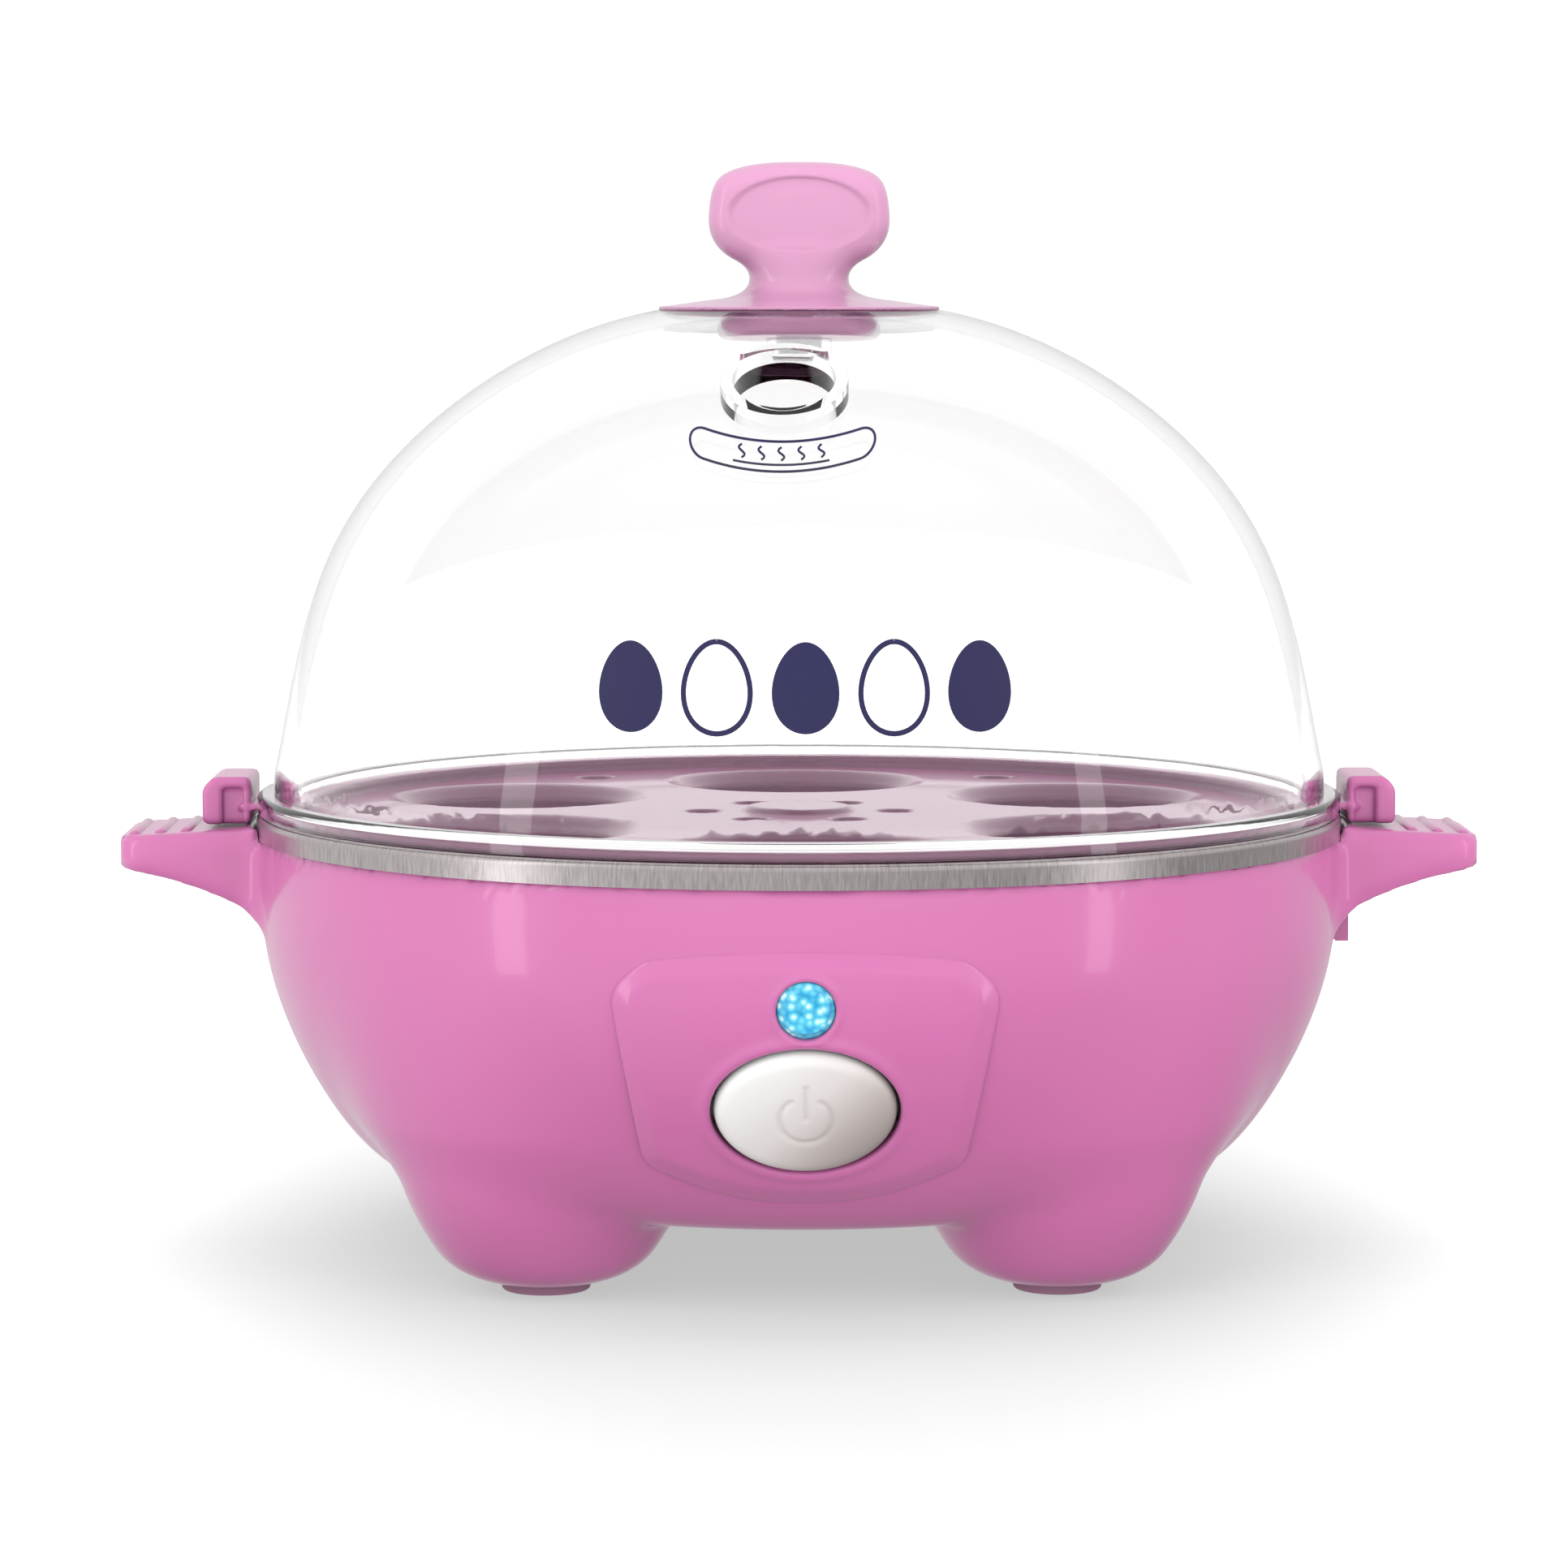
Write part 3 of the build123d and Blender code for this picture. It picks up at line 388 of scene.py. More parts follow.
def floor():
    """Round white table top, which glows away from the cooker so that it ends as clean white. Near the
    cooker the glow is weaker, in an oval: painted shade round the cooker.
    """
    points, faces = [(0.0, 0.0, 0.0)], []
    radii = [0.05, 0.12, 0.25, 0.5, 0.9, 1.6, 2.6, 4.0]
    around = 64
    for r in radii:
        points += [(r * cos(2 * pi * i / around), r * sin(2 * pi * i / around), 0.0) for i in range(around)]
    for i in range(around):
        k = (i + 1) % around
        faces.append((0, 1 + i, 1 + k))
        for j in range(len(radii) - 1):
            low, up = 1 + j * around, 1 + (j + 1) * around
            faces.append((low + i, up + i, up + k, low + k))
    mesh = bpy.data.meshes.new("table_top")
    mesh.from_pydata(points, [], faces)
    top = bpy.data.objects.new("table_top", mesh)
    scene.collection.objects.link(top)
    m = Maker("studio_white", Roughness=0.9)
    m.shader.inputs["Specular IOR Level"].default_value = 0.05
    m.colour(m.ramp(m.noise(3.0, 2.0), [(0.3, (0.44, 0.44, 0.44)), (0.7, (0.46, 0.46, 0.46))]))
    source = m.node("ShaderNodeTexCoord")
    spread = m.node("ShaderNodeMapping")
    spread.inputs["Scale"].default_value = (1.55, 0.75, 1.0)
    m.link(source.outputs["Object"], spread.inputs["Vector"])
    length = m.node("ShaderNodeVectorMath", operation="LENGTH")
    m.link(spread.outputs["Vector"], length.inputs[0])
    # Painted shade: the glow is weakest near the cooker and grows outwards in an oval, longer front to back
    glow_with_painted_shade = m.node("ShaderNodeMapRange", interpolation_type="SMOOTHSTEP")
    for socket, value in (("From Min", 0.075), ("From Max", 0.28), ("To Min", 0.5), ("To Max", 1.25)):
        glow_with_painted_shade.inputs[socket].default_value = value
    m.link(length.outputs["Value"], glow_with_painted_shade.inputs["Value"])
    m.shader.inputs["Emission Color"].default_value = (1.0, 1.0, 1.0, 1.0)
    m.link(glow_with_painted_shade.outputs["Result"], m.shader.inputs["Emission Strength"])
    paint(top, m.material)
    top.visible_glossy = False


floor()

# ---- Smooth moulded pieces: signed distances in millimetres, meshed on a grid ----


def spline(points, start=None, end=None, count=240):
    """Points along a smooth curve through the given ones. start and end are directions."""
    p = np.array(points, float)
    t = np.concatenate([[0], np.cumsum(np.hypot(*np.diff(p, axis=0).T))])
    n = len(p)
    h = np.diff(t)
    a = np.zeros((n, n))
    b = np.zeros((n, 2))
    for i in range(1, n - 1):
        a[i, i - 1 : i + 2] = h[i], 2 * (h[i - 1] + h[i]), h[i - 1]
        b[i] = 3 * (h[i] * (p[i] - p[i - 1]) / h[i - 1] + h[i - 1] * (p[i + 1] - p[i]) / h[i])
    for row, direction, near in ((0, start, 1), (n - 1, end, n - 2)):
        if direction is None:
            a[row, row], a[row, near] = 2, 1
            b[row] = 3 * (p[max(near, row)] - p[min(near, row)]) / abs(t[near] - t[row])
        else:
            a[row, row] = 1
            b[row] = np.array(direction, float) / np.hypot(*direction)
    m = np.linalg.solve(a, b)
    u = np.linspace(0, t[-1], count)
    k = np.clip(np.searchsorted(t, u, side="right") - 1, 0, n - 2)
    s = ((u - t[k]) / h[k])[:, None]
    hk = h[k][:, None]
    return (
        (2 * s**3 - 3 * s**2 + 1) * p[k] + (s**3 - 2 * s**2 + s) * hk * m[k]
        + (3 * s**2 - 2 * s**3) * p[k + 1] + (s**3 - s**2) * hk * m[k + 1]
    )


def outline(points, pitch=0.25, margin=14.0):
    """Signed distance to a closed outline in a plane, negative inside, from a fine table."""
    p = np.array(points, float)
    q = np.roll(p, -1, axis=0)
    low = p.min(0) - margin
    size = np.ceil((p.max(0) + margin - low) / pitch).astype(int) + 2
    u, v = np.meshgrid(*(low[i] + pitch * np.arange(size[i]) for i in (0, 1)), indexing="ij")
    best = np.full(u.shape, 1e9)
    inside = np.zeros(u.shape, bool)
    for (ax, ay), (bx, by) in zip(p, q):
        dx, dy = bx - ax, by - ay
        length = dx * dx + dy * dy
        if length < 1e-12:
            continue
        t = np.clip(((u - ax) * dx + (v - ay) * dy) / length, 0, 1)
        best = np.minimum(best, (u - ax - t * dx) ** 2 + (v - ay - t * dy) ** 2)
        if ay != by:
            inside ^= ((ay > v) != (by > v)) & (u < (bx - ax) * (v - ay) / dy + ax)
    table = np.where(inside, -1, 1) * np.sqrt(best)

    def read(x, y):
        gx = np.clip((x - low[0]) / pitch, 0, size[0] - 1.001)
        gy = np.clip((y - low[1]) / pitch, 0, size[1] - 1.001)
        i, j = gx.astype(int), gy.astype(int)
        fx, fy = gx - i, gy - j
        return (
            table[i, j] * (1 - fx) * (1 - fy) + table[i + 1, j] * fx * (1 - fy)
            + table[i, j + 1] * (1 - fx) * fy + table[i + 1, j + 1] * fx * fy
        )

    return read


def join(a, b, k=0.0):
    """Union, blended over k."""
    if np.all(k == 0):
        return np.minimum(a, b)
    h = np.clip(0.5 + 0.5 * (b - a) / k, 0, 1)
    return b * (1 - h) + a * h - k * h * (1 - h)


def both(a, b, k=0.0):
    """What a and b share, its edge rounded over k."""
    return -join(-a, -b, k)


def net(name, shape, low, high, cell, material, relax=2):
    """Mesh of shape's zero surface: one vertex in each mixed grid cell, then drawn onto the surface."""
    axes = [np.arange(low[i] - 1.5 * cell, high[i] + 1.5 * cell, cell) for i in range(3)]
    grid = np.meshgrid(*axes, indexing="ij")
    value = shape(*grid)
    solid = value < 0
    dims = [len(a) - 1 for a in axes]
    total = np.zeros((*dims, 3))
    hits = np.zeros(dims)
    crossings = []
    for axis in range(3):
        head = [slice(None)] * 3
        tail = [slice(None)] * 3
        head[axis], tail[axis] = slice(0, -1), slice(1, None)
        a, b = value[tuple(head)], value[tuple(tail)]
        cut = solid[tuple(head)] != solid[tuple(tail)]
        where = np.argwhere(cut)
        t = a[cut] / (a[cut] - b[cut])
        point = where.astype(float)
        point[:, axis] += t
        others = [i for i in range(3) if i != axis]
        for du in (0, 1):
            for dv in (0, 1):
                c = where.copy()
                c[:, others[0]] -= du
                c[:, others[1]] -= dv
                ok = np.all((c >= 0) & (c < dims), axis=1)
                np.add.at(total, tuple(c[ok].T), point[ok])
                np.add.at(hits, tuple(c[ok].T), 1)
        crossings.append((axis, others, where, solid[tuple(head)][cut]))
    used = hits > 0
    index = np.full(dims, -1)
    index[used] = np.arange(used.sum())
    start = np.array([a[0] for a in axes])
    verts = start + cell * total[used] / hits[used][:, None]
    quads = []
    for axis, others, where, first_in in crossings:
        corners = []
        for du, dv in ((0, 0), (1, 0), (1, 1), (0, 1)):
            c = where.copy()
            c[:, others[0]] -= du
            c[:, others[1]] -= dv
            corners.append(index[tuple(np.clip(c, 0, np.array(dims) - 1).T)])
        quad = np.stack(corners, axis=1)
        flip = first_in if axis == 1 else ~first_in
        quad[flip] = quad[flip][:, ::-1]
        quads.append(quad)
    quads = np.concatenate(quads)
    quads = quads[(quads >= 0).all(axis=1)]
    edges = np.concatenate([quads[:, [i, (i + 1) % 4]] for i in range(4)])
    for step in range(relax + 3):
        if step < relax:
            mean = np.zeros_like(verts)
            count = np.zeros(len(verts))
            for i, j in ((0, 1), (1, 0)):
                np.add.at(mean, edges[:, i], verts[edges[:, j]])
                np.add.at(count, edges[:, i], 1)
            verts = verts * 0.5 + 0.5 * mean / np.maximum(count, 1)[:, None]
        d = shape(*verts.T)
        e = 0.05 * cell
        slope = np.stack(
            [(shape(*(verts + s).T) - shape(*(verts - s).T)) / (2 * e) for s in e * np.eye(3)],
            axis=1,
        )
        steep = np.maximum((slope**2).sum(1), 0.05)
        move = -(d / steep)[:, None] * slope
        length = np.linalg.norm(move, axis=1)
        move *= np.minimum(1, 0.6 * cell / np.maximum(length, 1e-9))[:, None]
        verts = verts + move
    mesh = bpy.data.meshes.new(name)
    mesh.from_pydata((verts * MM).tolist(), [], quads.tolist())
    mesh.validate()
    mesh.polygons.foreach_set("use_smooth", np.ones(len(mesh.polygons), bool))
    thing = bpy.data.objects.new(name, mesh)
    scene.collection.objects.link(thing)
    paint(thing, material)
    return thing


def ride(thing, body, slot, *replaced):
    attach(thing, body)
    if replaced:
        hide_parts(*replaced)
    return thing


def turned(x, y, number):
    """Coordinates turned so that leg or seat number lies on +X. Angles in degrees."""
    a = radians(number)
    return x * cos(a) + y * sin(a), y * cos(a) - x * sin(a)


def cylinder(x, y, radius):
    return np.hypot(x, y) - radius


def square(x, y, half, corner):
    """Rounded square standing on its corner."""
    u, v = turned(x, y, 45)
    a, b = np.abs(u) - half + corner, np.abs(v) - half + corner
    return np.hypot(np.maximum(a, 0), np.maximum(b, 0)) + np.minimum(np.maximum(a, b), 0) - corner


# Driving sizes of the moulded pieces
wall = 2.2
leg_turns = (45, 135, 225, 315)
leg_spread = 49.0  # from the middle to each leg's axis
leg_radius = 22.0
leg_height = 33.0  # upright half height of a leg's ellipsoid
leg_middle = 30
leg_low = 0.8
pad_pocket = 6.1
pad_top = 2.4
neck_radius = 74.9  # the neck that the steel band hides
band_clear = 76.25  # the housing stays inside this radius above band_low
band_low = 58.5
hollow_low = 7.6
inlet_height = 33.0
inlet_boss = 9.5
inlet_bore = 7.8
cut_depth = 8  # how deep the holes for button and lens are cut
button_long = 11.85
button_tall = 9.0
mark_radius = 3.35  # ring of the power mark
mark_gap = radians(35)  # half the gap at the ring's top
mark_width = 0.34
mark_depth = 0.3
seat_ring = 47  # circle on which the six eggs stand
seat_radius = 15.9
tab_half = 7.5  # half the width of a lift tab

bowl_side = [(75.5, 58.6), (75.1, 44.2), (72.4, 33.9), (67.3, 23.6), (58.5, 13.6), (51.5, 11.0)]
side = spline(bowl_side, (0, -1), (-1, 0))
tangent = np.gradient(side, axis=0)
tangent /= np.linalg.norm(tangent, axis=1)[:, None]
inner_side = side + wall * np.stack([tangent[:, 1], -tangent[:, 0]], axis=1)
outer_bowl = outline([*side, (-10, 11), (-10, 60.6), (74.9, 60.6), (74.9, 58.6)])
inner_bowl = outline([*inner_side, (-10, inner_side[-1][1]), (-10, 75), (72.9, 75), (72.9, 58.6)])
wing_side = outline(
    [(66, 46.6), (66, 60.2), (76.5, 60.2), (95, 59.2), (95, 54.6)]
    + [(95 - 19.5 * t, 54.6 - 2.1 * t - 4.3 * t * t) for t in np.linspace(0.05, 1, 20)]
    + [(70, 46.7)]
)


def button_frame(x, y, z):
    """Coordinates in the button's plane: across, up along the panel, out of the panel."""
    a = radians(24)
    dy, dz = y + 71.6, z - 29.5
    return x, -dy * sin(a) + dz * cos(a), -dy * cos(a) - dz * sin(a)


def lens_frame(x, y, z):
    a = radians(9)
    dy, dz = y + 76.0, z - 43.3
    return x, -dy * sin(a) + dz * cos(a), -dy * cos(a) - dz * sin(a)


def ellipse(u, v, a, b):
    k = np.hypot(u / a, v / b)
    g = np.hypot(u / a**2, v / b**2)
    return k * (k - 1) / np.maximum(g, 1e-6)


def leg_shape(x, y, z, inset):
    """The four legs, ellipsoids smaller by inset."""
    best = None
    for turn in leg_turns:
        u, v = turned(x, y, turn)
        u = u - leg_spread
        a, h = leg_radius - inset, leg_height - inset
        k = np.sqrt((u / a) ** 2 + (v / a) ** 2 + ((z - leg_middle) / h) ** 2)
        g = np.sqrt((u / a**2) ** 2 + (v / a**2) ** 2 + ((z - leg_middle) / h**2) ** 2)
        d = k * (k - 1) / np.maximum(g, 1e-6)
        best = d if best is None else np.minimum(best, d)
    return best


def take(a, b, k=0.0):
    """a without b."""
    return both(a, -b, k)


def housing(x, y, z):
    """Bowl, legs and the two handles in one moulding, hollow, with its holes."""
    r = np.hypot(x, y)
    rim_zone = np.maximum(r - band_clear, band_low - z)
    legs = both(leg_shape(x, y, z, 0), leg_low - z, 5.0)
    blend = 3.0 + 7.0 * np.clip((z - 13.0) / 10.0, 0, 1)
    body = join(outer_bowl(r, z), legs, blend)
    half_width = 12.6 + 0.18 * np.maximum(95 - np.abs(x), 0)
    wing = both(wing_side(np.abs(x), z), np.abs(y) - half_width, 2.4)
    tip = np.hypot(np.maximum(np.abs(x) - 90.6, 0), np.maximum(np.abs(y) - 8.2, 0)) - 4.4
    wing = take(both(wing, tip, 1.6), rim_zone)
    body = take(join(body, wing, 4.0), np.maximum(rim_zone, neck_radius - r))
    hollow = np.maximum(join(inner_bowl(r, z), leg_shape(x, y, z, wall)), hollow_low - z)
    floor_pad = np.maximum(square(x, y, 29.8, 7.0), np.maximum(z - 15.2, 12.0 - z))
    body = take(body, take(hollow, floor_pad))
    body = take(body, np.maximum(square(x, y, 28.5, 6.0), z - 13.0), 0.5)
    body = take(body, np.maximum(square(x, y, 21.5, 5.0), z - 18.0))
    u, v, w = button_frame(x, y, z)
    body = take(body, np.maximum(ellipse(u, v, 12.85, 9.6), -cut_depth - w))
    u, v, w = lens_frame(x, y, z)
    body = take(body, np.maximum(np.hypot(u, v) - 4.0, -cut_depth - w))
    inlet = np.hypot(x, z - inlet_height)
    body = join(body, np.maximum(inlet - inlet_boss, np.abs(y - 69.4) - 4.0), 0.8)
    body = take(body, np.maximum(inlet - inlet_bore, 65.4 - y))
    for turn in leg_turns:
        u, v = turned(x, y, turn)
        body = take(body, np.maximum(cylinder(u - leg_spread, v, pad_pocket), z - pad_top), 0.4)
    return body


panel_side = spline(
    [(76.0, 51.2), (75.9, 45.0), (73.7, 33.9), (68.7, 23.6), (62.3, 15.9)],
    (0, -1), (-0.75, -0.66),
)
panel_face = outline([*panel_side, (50, 4), (-10, 4), (-10, 60), (76.0, 60)])


def rounded_corners(points, radius, steps=8):
    """Closed outline with its corners rounded."""
    made = []
    for i, p in enumerate(points):
        p = np.array(p, float)
        a = np.array(points[i - 1], float) - p
        b = np.array(points[(i + 1) % len(points)], float) - p
        reach = min(radius, 0.45 * np.hypot(*a), 0.45 * np.hypot(*b))
        a, b = a / np.hypot(*a) * reach, b / np.hypot(*b) * reach
        for t in np.linspace(0, 1, steps):
            made.append(p + a * (1 - t) ** 2 + b * t**2)
    return made


top_arc = [(x, 51.0 - 1.4 * (x / 20.8) ** 2) for x in np.linspace(-17, 17, 15)]
low_arc = [(x, 16.2 + 5.8 * (abs(x) / 21.0) ** 2.2) for x in np.linspace(17, -17, 15)]
panel_outline = outline(
    [*top_arc]
    + rounded_corners([(17, 50.1), (20.9, 49.5), (25.3, 45.5), (20.9, 21.6), (17, 19.8)], 3.6)[8:-8]
    + [*low_arc]
    + rounded_corners([(-17, 19.8), (-20.9, 21.6), (-25.3, 45.5), (-20.9, 49.5), (-17, 50.1)], 3.6)[8:-8]
)


def panel(x, y, z):
    """Raised plate with a bevelled edge, and a low collar round the button and the lens."""
    r = np.hypot(x, y)
    edge = panel_outline(x, z)
    face = panel_face(r, z) - 0.3
    bevel = face + 0.34 * (edge + 2.3)
    body = both(face, bevel, 0.12)
    u, v, _ = button_frame(x, y, z)
    ring = ellipse(u, v, button_long, button_tall)
    body = body - 0.3 * np.exp(-(((ring - 1.3) / 0.8) ** 2))
    a, b, _ = lens_frame(x, y, z)
    lens_ring = np.hypot(a, b)
    body = body - 0.22 * np.exp(-(((lens_ring - 4.3) / 0.4) ** 2))
    body = both(np.maximum(body, edge), -1.1 - outer_bowl(r, z))
    body = take(body, ring - 0.4, 0.6)
    body = take(body, lens_ring - 3.8, 0.3)
    return np.maximum(body, y + 50)


def button(x, y, z):
    """Oval button with a power mark sunk into its slightly domed face."""
    u, v, w = button_frame(x, y, z)
    dome = np.sqrt(u**2 + v**2 + (w + 60.7) ** 2) - 62
    body = both(ellipse(u, v, button_long, button_tall), dome, 1.8)
    body = np.maximum(body, -5.4 - w)
    ring = np.abs(np.hypot(u, v + 0.3) - mark_radius)
    gap = np.hypot(np.abs(u) - mark_radius * sin(mark_gap), v + 0.3 - mark_radius * cos(mark_gap))
    ring = np.where(np.arctan2(np.abs(u), v + 0.3) < mark_gap, gap, ring)
    bar = np.hypot(u, np.maximum(np.maximum(-0.1 - v, v - 4.5), 0))
    mark = np.minimum(ring, bar)
    body = body + np.where(w > -1.0, mark_depth * np.exp(-((mark / mark_width) ** 2)), 0)
    flange = np.maximum(ellipse(u, v, 14.05, 8.0), np.abs(w + 5.9) - 0.5)
    stem = np.maximum(np.hypot(u, v) - 2.5, np.abs(w + 8.4) - 2.0)
    return join(join(body, flange), stem)


def mirrored(half):
    return [*half, *[(-x, z) for x, z in reversed(half)]]


paddle_half = spline(
    [(0, 152.5), (7.6, 151.9), (11.4, 150.0), (12.5, 146.5), (12.3, 142.4), (10.4, 139.8), (6.3, 137.4)],
    (1, 0), (-0.8, -0.6),
)
paddle_outline = outline(mirrored([tuple(p) for p in paddle_half] + [(3.0, 135.4)]), 0.15, 8)
flare = spline(
    [(19.6, 132.45), (12.5, 133.35), (8.2, 134.4), (6.25, 136.4), (5.3, 139.5)],
    (-1, 0.08), (-0.3, 1),
)
under = spline([(6.6, 133.5), (14.0, 132.85), (19.6, 131.95)])
neck_outline = outline([*flare, (-5, 139.5), (-5, 134.5), (6.6, 134.5), *under], 0.15, 8)


def knob(x, y, z):
    """Paddle with a thumb hollow, on a neck that flares into the disc."""
    paddle = both(paddle_outline(x, z), np.abs(y) - 5.4, 4.2)
    thumb = np.hypot(x / 9.8, (z - 145.3) / 5.1)
    inward = np.clip((1.06 - thumb) / 0.16, 0, 1)
    paddle = paddle + 0.55 * inward**2 * (3 - 2 * inward)
    return join(paddle, neck_outline(np.hypot(x, y), z), 3.5)


dome_side = spline(
    [(0, 133.6), (30.9, 128.8), (53.6, 114.5), (67.2, 94.5), (73.35, 68.8), (73.7, 64.8)],
    (1, 0), (0, -1),
)
vent_turn = radians(-3.1)


def dome_copy():
    """Copy of the clear dome, shaded by its exact curve, so that things behind it look straight."""
    mesh = nodes["lid_dome"].data.copy()
    mesh.name = "dome_shell"
    corner_count = len(mesh.loops)
    point = np.empty(3 * len(mesh.vertices))
    mesh.vertices.foreach_get("co", point)
    corner = np.empty(corner_count, int)
    mesh.loops.foreach_get("vertex_index", corner)
    x, y, z = (point.reshape(-1, 3)[corner] / MM).T
    normal = np.empty(3 * corner_count)
    mesh.corner_normals.foreach_get("vector", normal)
    normal = normal.reshape(-1, 3)
    run = np.gradient(dome_side, axis=0)
    run /= np.linalg.norm(run, axis=1)[:, None]
    low = 60  # angles round the dome are measured from this height
    climb = np.arctan2(dome_side[:, 1] - low, dome_side[:, 0])[::-1]
    r = np.hypot(x, y)
    here = np.arctan2(z - low, r)
    out_r, out_z = np.interp(here, climb, -run[::-1, 1]), np.interp(here, climb, run[::-1, 0])
    exact = np.stack([out_r * x / r, out_r * y / r, out_z], axis=1)
    exact /= np.linalg.norm(exact, axis=1)[:, None]
    match = (normal * exact).sum(1)
    foot, disc = 66.5, 20  # the wall starts above its foot and outside the knob's disc
    smooth = (np.abs(match) > 0.985) & (z > foot) & (r > disc)
    normal[smooth] = exact[smooth] * np.sign(match[smooth])[:, None]
    mesh.normals_split_custom_set(normal.tolist())
    thing = bpy.data.objects.new("dome_shell", mesh)
    scene.collection.objects.link(thing)
    paint(thing, dome_clear)
    return thing


tray_profile = outline(
    [
        (-10, 60.0), (70.7, 60.0), (70.7, 62.35), (74.2, 62.35),
        (74.2, 63.35), (69.5, 63.35), (69.5, 61.6), (-10, 61.6),
    ]
)


def tray(x, y, z):
    """Egg tray: deck with six seats and drain holes, rim, and two upright lift tabs."""
    body = tray_profile(np.hypot(x, y), z)
    body = join(body, both(cylinder(x, y, 7.5), np.abs(z - 61.2) - 1.2, 0.8), 0.8)
    for i in range(6):
        u, v = turned(x, y, -90 + 60 * i)
        away = np.hypot(u - seat_ring, v)
        body = join(body, both(away - 17.5, np.abs(z - 58.7) - 2.1, 0.8), 0.8)
        body = take(body, away - seat_radius - 1.33 * np.clip(z - 59.8, 0, 1.8), 0.9)
        u, v = turned(x, y, -60 + 60 * i)
        body = take(body, np.minimum(np.hypot(u - 60.5, v) - 2.5, np.hypot(u - 13.5, v) - 2.2), 0.5)
    ax, ay = np.abs(x), np.abs(y)
    tongue = np.maximum(np.maximum(np.abs(ax - 75.3) - 3.0, ay - tab_half), np.abs(z - 62.85) - 0.5)
    block = both(np.abs(ax - 79.95) - 3.45, np.maximum(ay - tab_half, np.abs(z - 63.8) - 3.3), 1.1)
    block = both(block, (ax - 83.4 + z - 67.1 + 1.6) * 0.7, 0.6)
    recess = np.maximum(np.maximum(np.abs(ax - 79.05) - 1.45, 6.5 - ay), z - 65.6)
    return join(body, join(take(block, recess, 0.4), tongue))


shell = net("housing_shell", housing, (-95, -77, 0.8), (95, 77, 61), 1.25, pink)
leg_nodes = [n for n in nodes if n.startswith("leg_end")]
ride(shell, "base", "pink_plastic", "base_housing", *leg_nodes)
shell = net("panel_shell", panel, (-26, -77, 15), (26, -56, 52), 0.45, pink)
ride(shell, "base", "pink_plastic", "control_panel")
shell = net("button_shell", button, (-14.2, -77, 17), (14.2, -58, 40), 0.32, silver)
ride(shell, "button", "satin_silver", "power_button")
shell = net("knob_shell", knob, (-20, -20, 131.8), (20, 20, 153), 0.3, pink_pale)
ride(shell, "lid", "pink_plastic", "lid_knob")
shell = net("tray_shell", tray, (-84, -75, 56), (84, 75, 68), 0.55, pink)
ride(shell, "tray", "pink_plastic", "egg_tray")
ride(dome_copy(), "lid", "clear_plastic", "lid_dome")


def capsule(points, faces, centre, half, radius, around=12, cap=4):
    """Adds a bar along Y with round ends."""
    first = len(points)
    rows = [(-half - radius * cos(a), radius * sin(a)) for a in np.linspace(0.15, pi / 2, cap)]
    rows += [(half + radius * cos(a), radius * sin(a)) for a in np.linspace(pi / 2, 0.15, cap)]
    for y, r in rows:
        for i in range(around):
            a = 2 * pi * i / around
            place = (centre[0] + r * cos(a), centre[1] + y, centre[2] + r * sin(a))
            points.append(tuple(c * MM for c in place))
    for j in range(len(rows) - 1):
        for i in range(around):
            k = (i + 1) % around
            low, up = first + j * around, first + (j + 1) * around
            faces.append((low + i, low + k, up + k, up + i))
    faces.append(tuple(first + i for i in range(around))[::-1])
    faces.append(tuple(first + (len(rows) - 1) * around + i for i in range(around)))


def mesh_piece(name, points, faces, material):
    mesh = bpy.data.meshes.new(name)
    mesh.from_pydata(points, [], faces)
    mesh.polygons.foreach_set("use_smooth", np.ones(len(mesh.polygons), bool))
    thing = bpy.data.objects.new(name, mesh)
    scene.collection.objects.link(thing)
    paint(thing, material)
    return thing


rib_pitch = 3.55
rib_half = 8.6
rib_radius = 0.95
for mark, name in ((-1, "left"), (1, "right")):
    points, faces = [], []
    for i in range(3):
        x = 92.6 - i * rib_pitch
        wing_slope = (x - 76.5) / 18.5
        capsule(points, faces, (mark * x, 0, 59.75 - wing_slope), rib_half, rib_radius)
    ride(mesh_piece(f"wing_ribs_{name}", points, faces, pink), "base", "pink_plastic")

# ---- Navy prints on the dome: steam sign under the vent, a row of eggs lower down ----

dome_table = dome_side[np.argsort(dome_side[:, 1])]


def on_dome(across, height, turn=0.0, proud=0.05):
    """Point on the dome's outside: across in mm along its round from the front, height above the table."""
    radius = float(np.interp(height, dome_table[:, 1], dome_table[:, 0]))
    angle = turn + across / radius
    r = radius + proud
    return (r * sin(angle) * MM, -r * cos(angle) * MM, height * MM)


def stroke(points, faces, line, width, place):
    """Flat ribbon along a line of (across, height) points."""
    line = np.array(line, float)
    run = np.gradient(line, axis=0)
    run /= np.linalg.norm(run, axis=1)[:, None]
    first = len(points)
    for (a, h), (da, dh) in zip(line, run):
        for s in (-0.5, 0.5):
            points.append(place(a - dh * width * s, h + da * width * s))
    for i in range(len(line) - 1):
        faces.append((first + 2 * i, first + 2 * i + 1, first + 2 * i + 3, first + 2 * i + 2))


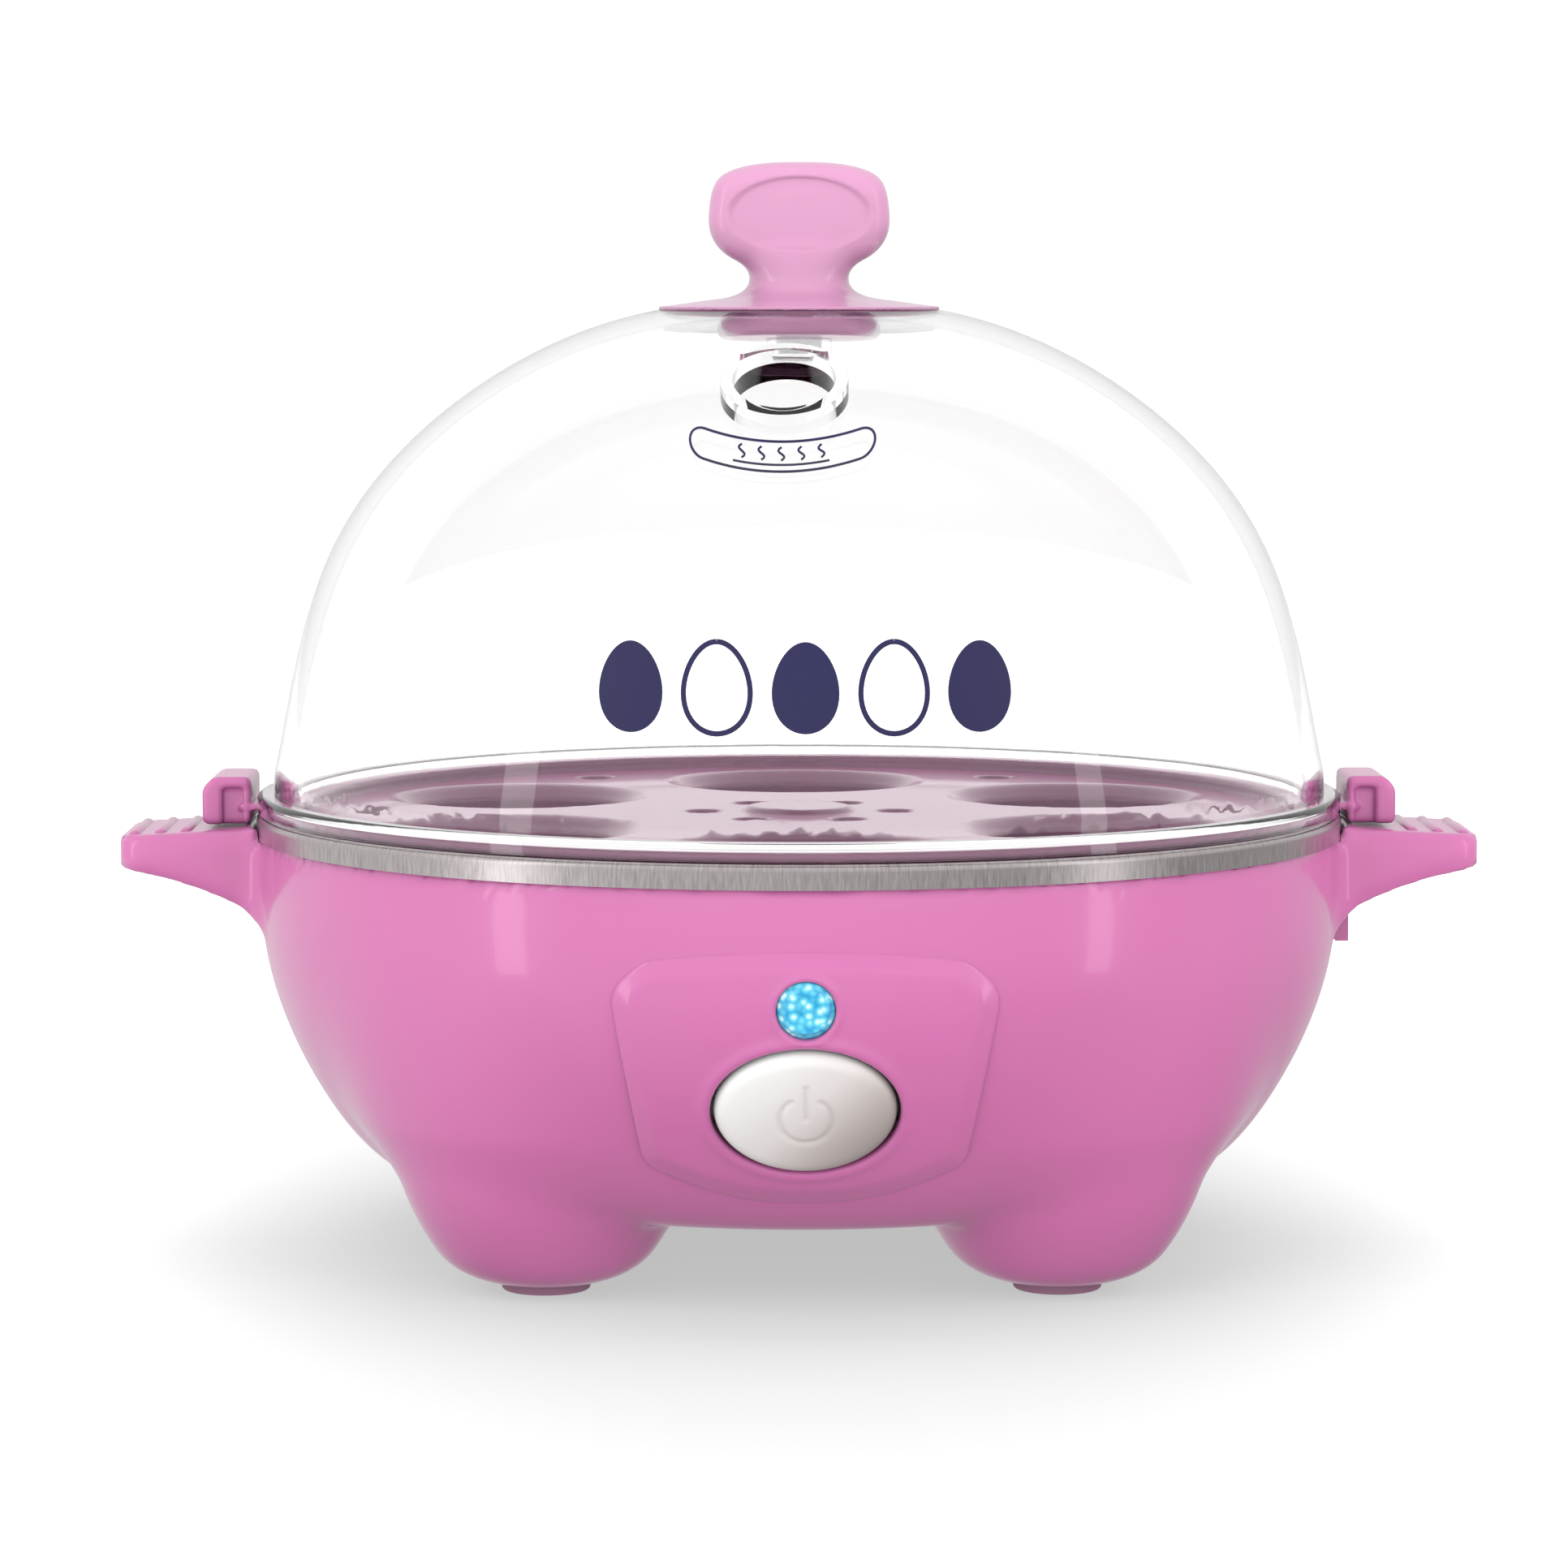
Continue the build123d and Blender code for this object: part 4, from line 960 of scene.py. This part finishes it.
def blob(points, faces, centre, shape, place, rings=5, around=48):
    """Filled shape round a centre, shape(angle) giving its reach across and up."""
    first = len(points)
    points.append(place(*centre))
    for j in range(1, rings + 1):
        for i in range(around):
            a, h = shape(2 * pi * i / around)
            points.append(place(centre[0] + a * j / rings, centre[1] + h * j / rings))
    for i in range(around):
        k = (i + 1) % around
        faces.append((first, first + 1 + i, first + 1 + k))
        for j in range(rings - 1):
            low, up = first + 1 + j * around, first + 1 + (j + 1) * around
            faces.append((low + i, up + i, up + k, low + k))


points, faces = [], []


def sign_place(a, h):
    return on_dome(a, h, vent_turn)


def sign_line(a, h):
    """The sign curves like a smile: its ends stand higher than its middle."""
    return a, 113.2 + h + 0.0155 * a * a


ends = [(10.3 + 1.9 * sin(a), 1.9 * cos(a)) for a in np.linspace(0, pi, 17)]
capsule_line = [(a, 1.9) for a in np.linspace(-10, 10, 25)] + ends
capsule_line += [(-a, -h) for a, h in capsule_line]
stroke(points, faces, [sign_line(a, h) for a, h in [*capsule_line, capsule_line[0]]], 0.34, sign_place)
for k in (-2, -1, 0, 1, 2):
    wave = [sign_line(k * 2.6 + 0.4 * sin(t * 2 * pi), -0.5 + 1.7 * t) for t in np.linspace(0, 1, 17)]
    stroke(points, faces, wave, 0.3, sign_place)
stroke(points, faces, [sign_line(a, -1.05) for a in np.linspace(-6.3, 6.3, 25)], 0.3, sign_place)
ride(mesh_piece("steam_sign", points, faces, ink), "lid", "clear_plastic")


egg_pitch = 11.4
egg_height = 84.2  # of the row's middle above the table


def egg_shape(a):
    """Reach across and up of a printed egg, 8.6 mm by 11.6 mm, fuller below."""
    return 4.3 * sin(a) * (1 - 0.12 * cos(a)), 5.8 * cos(a)


points, faces = [], []
for k in (-2, 0, 2):
    blob(points, faces, (k * egg_pitch, egg_height), egg_shape, on_dome)
for k in (-1, 1):
    reach = [egg_shape(a) for a in np.linspace(0, 2 * pi, 49)]
    loop = [(k * egg_pitch + across, egg_height + up) for across, up in reach]
    stroke(points, faces, loop, 0.7, on_dome)
ride(mesh_piece("egg_row_print", points, faces, ink), "lid", "clear_plastic")
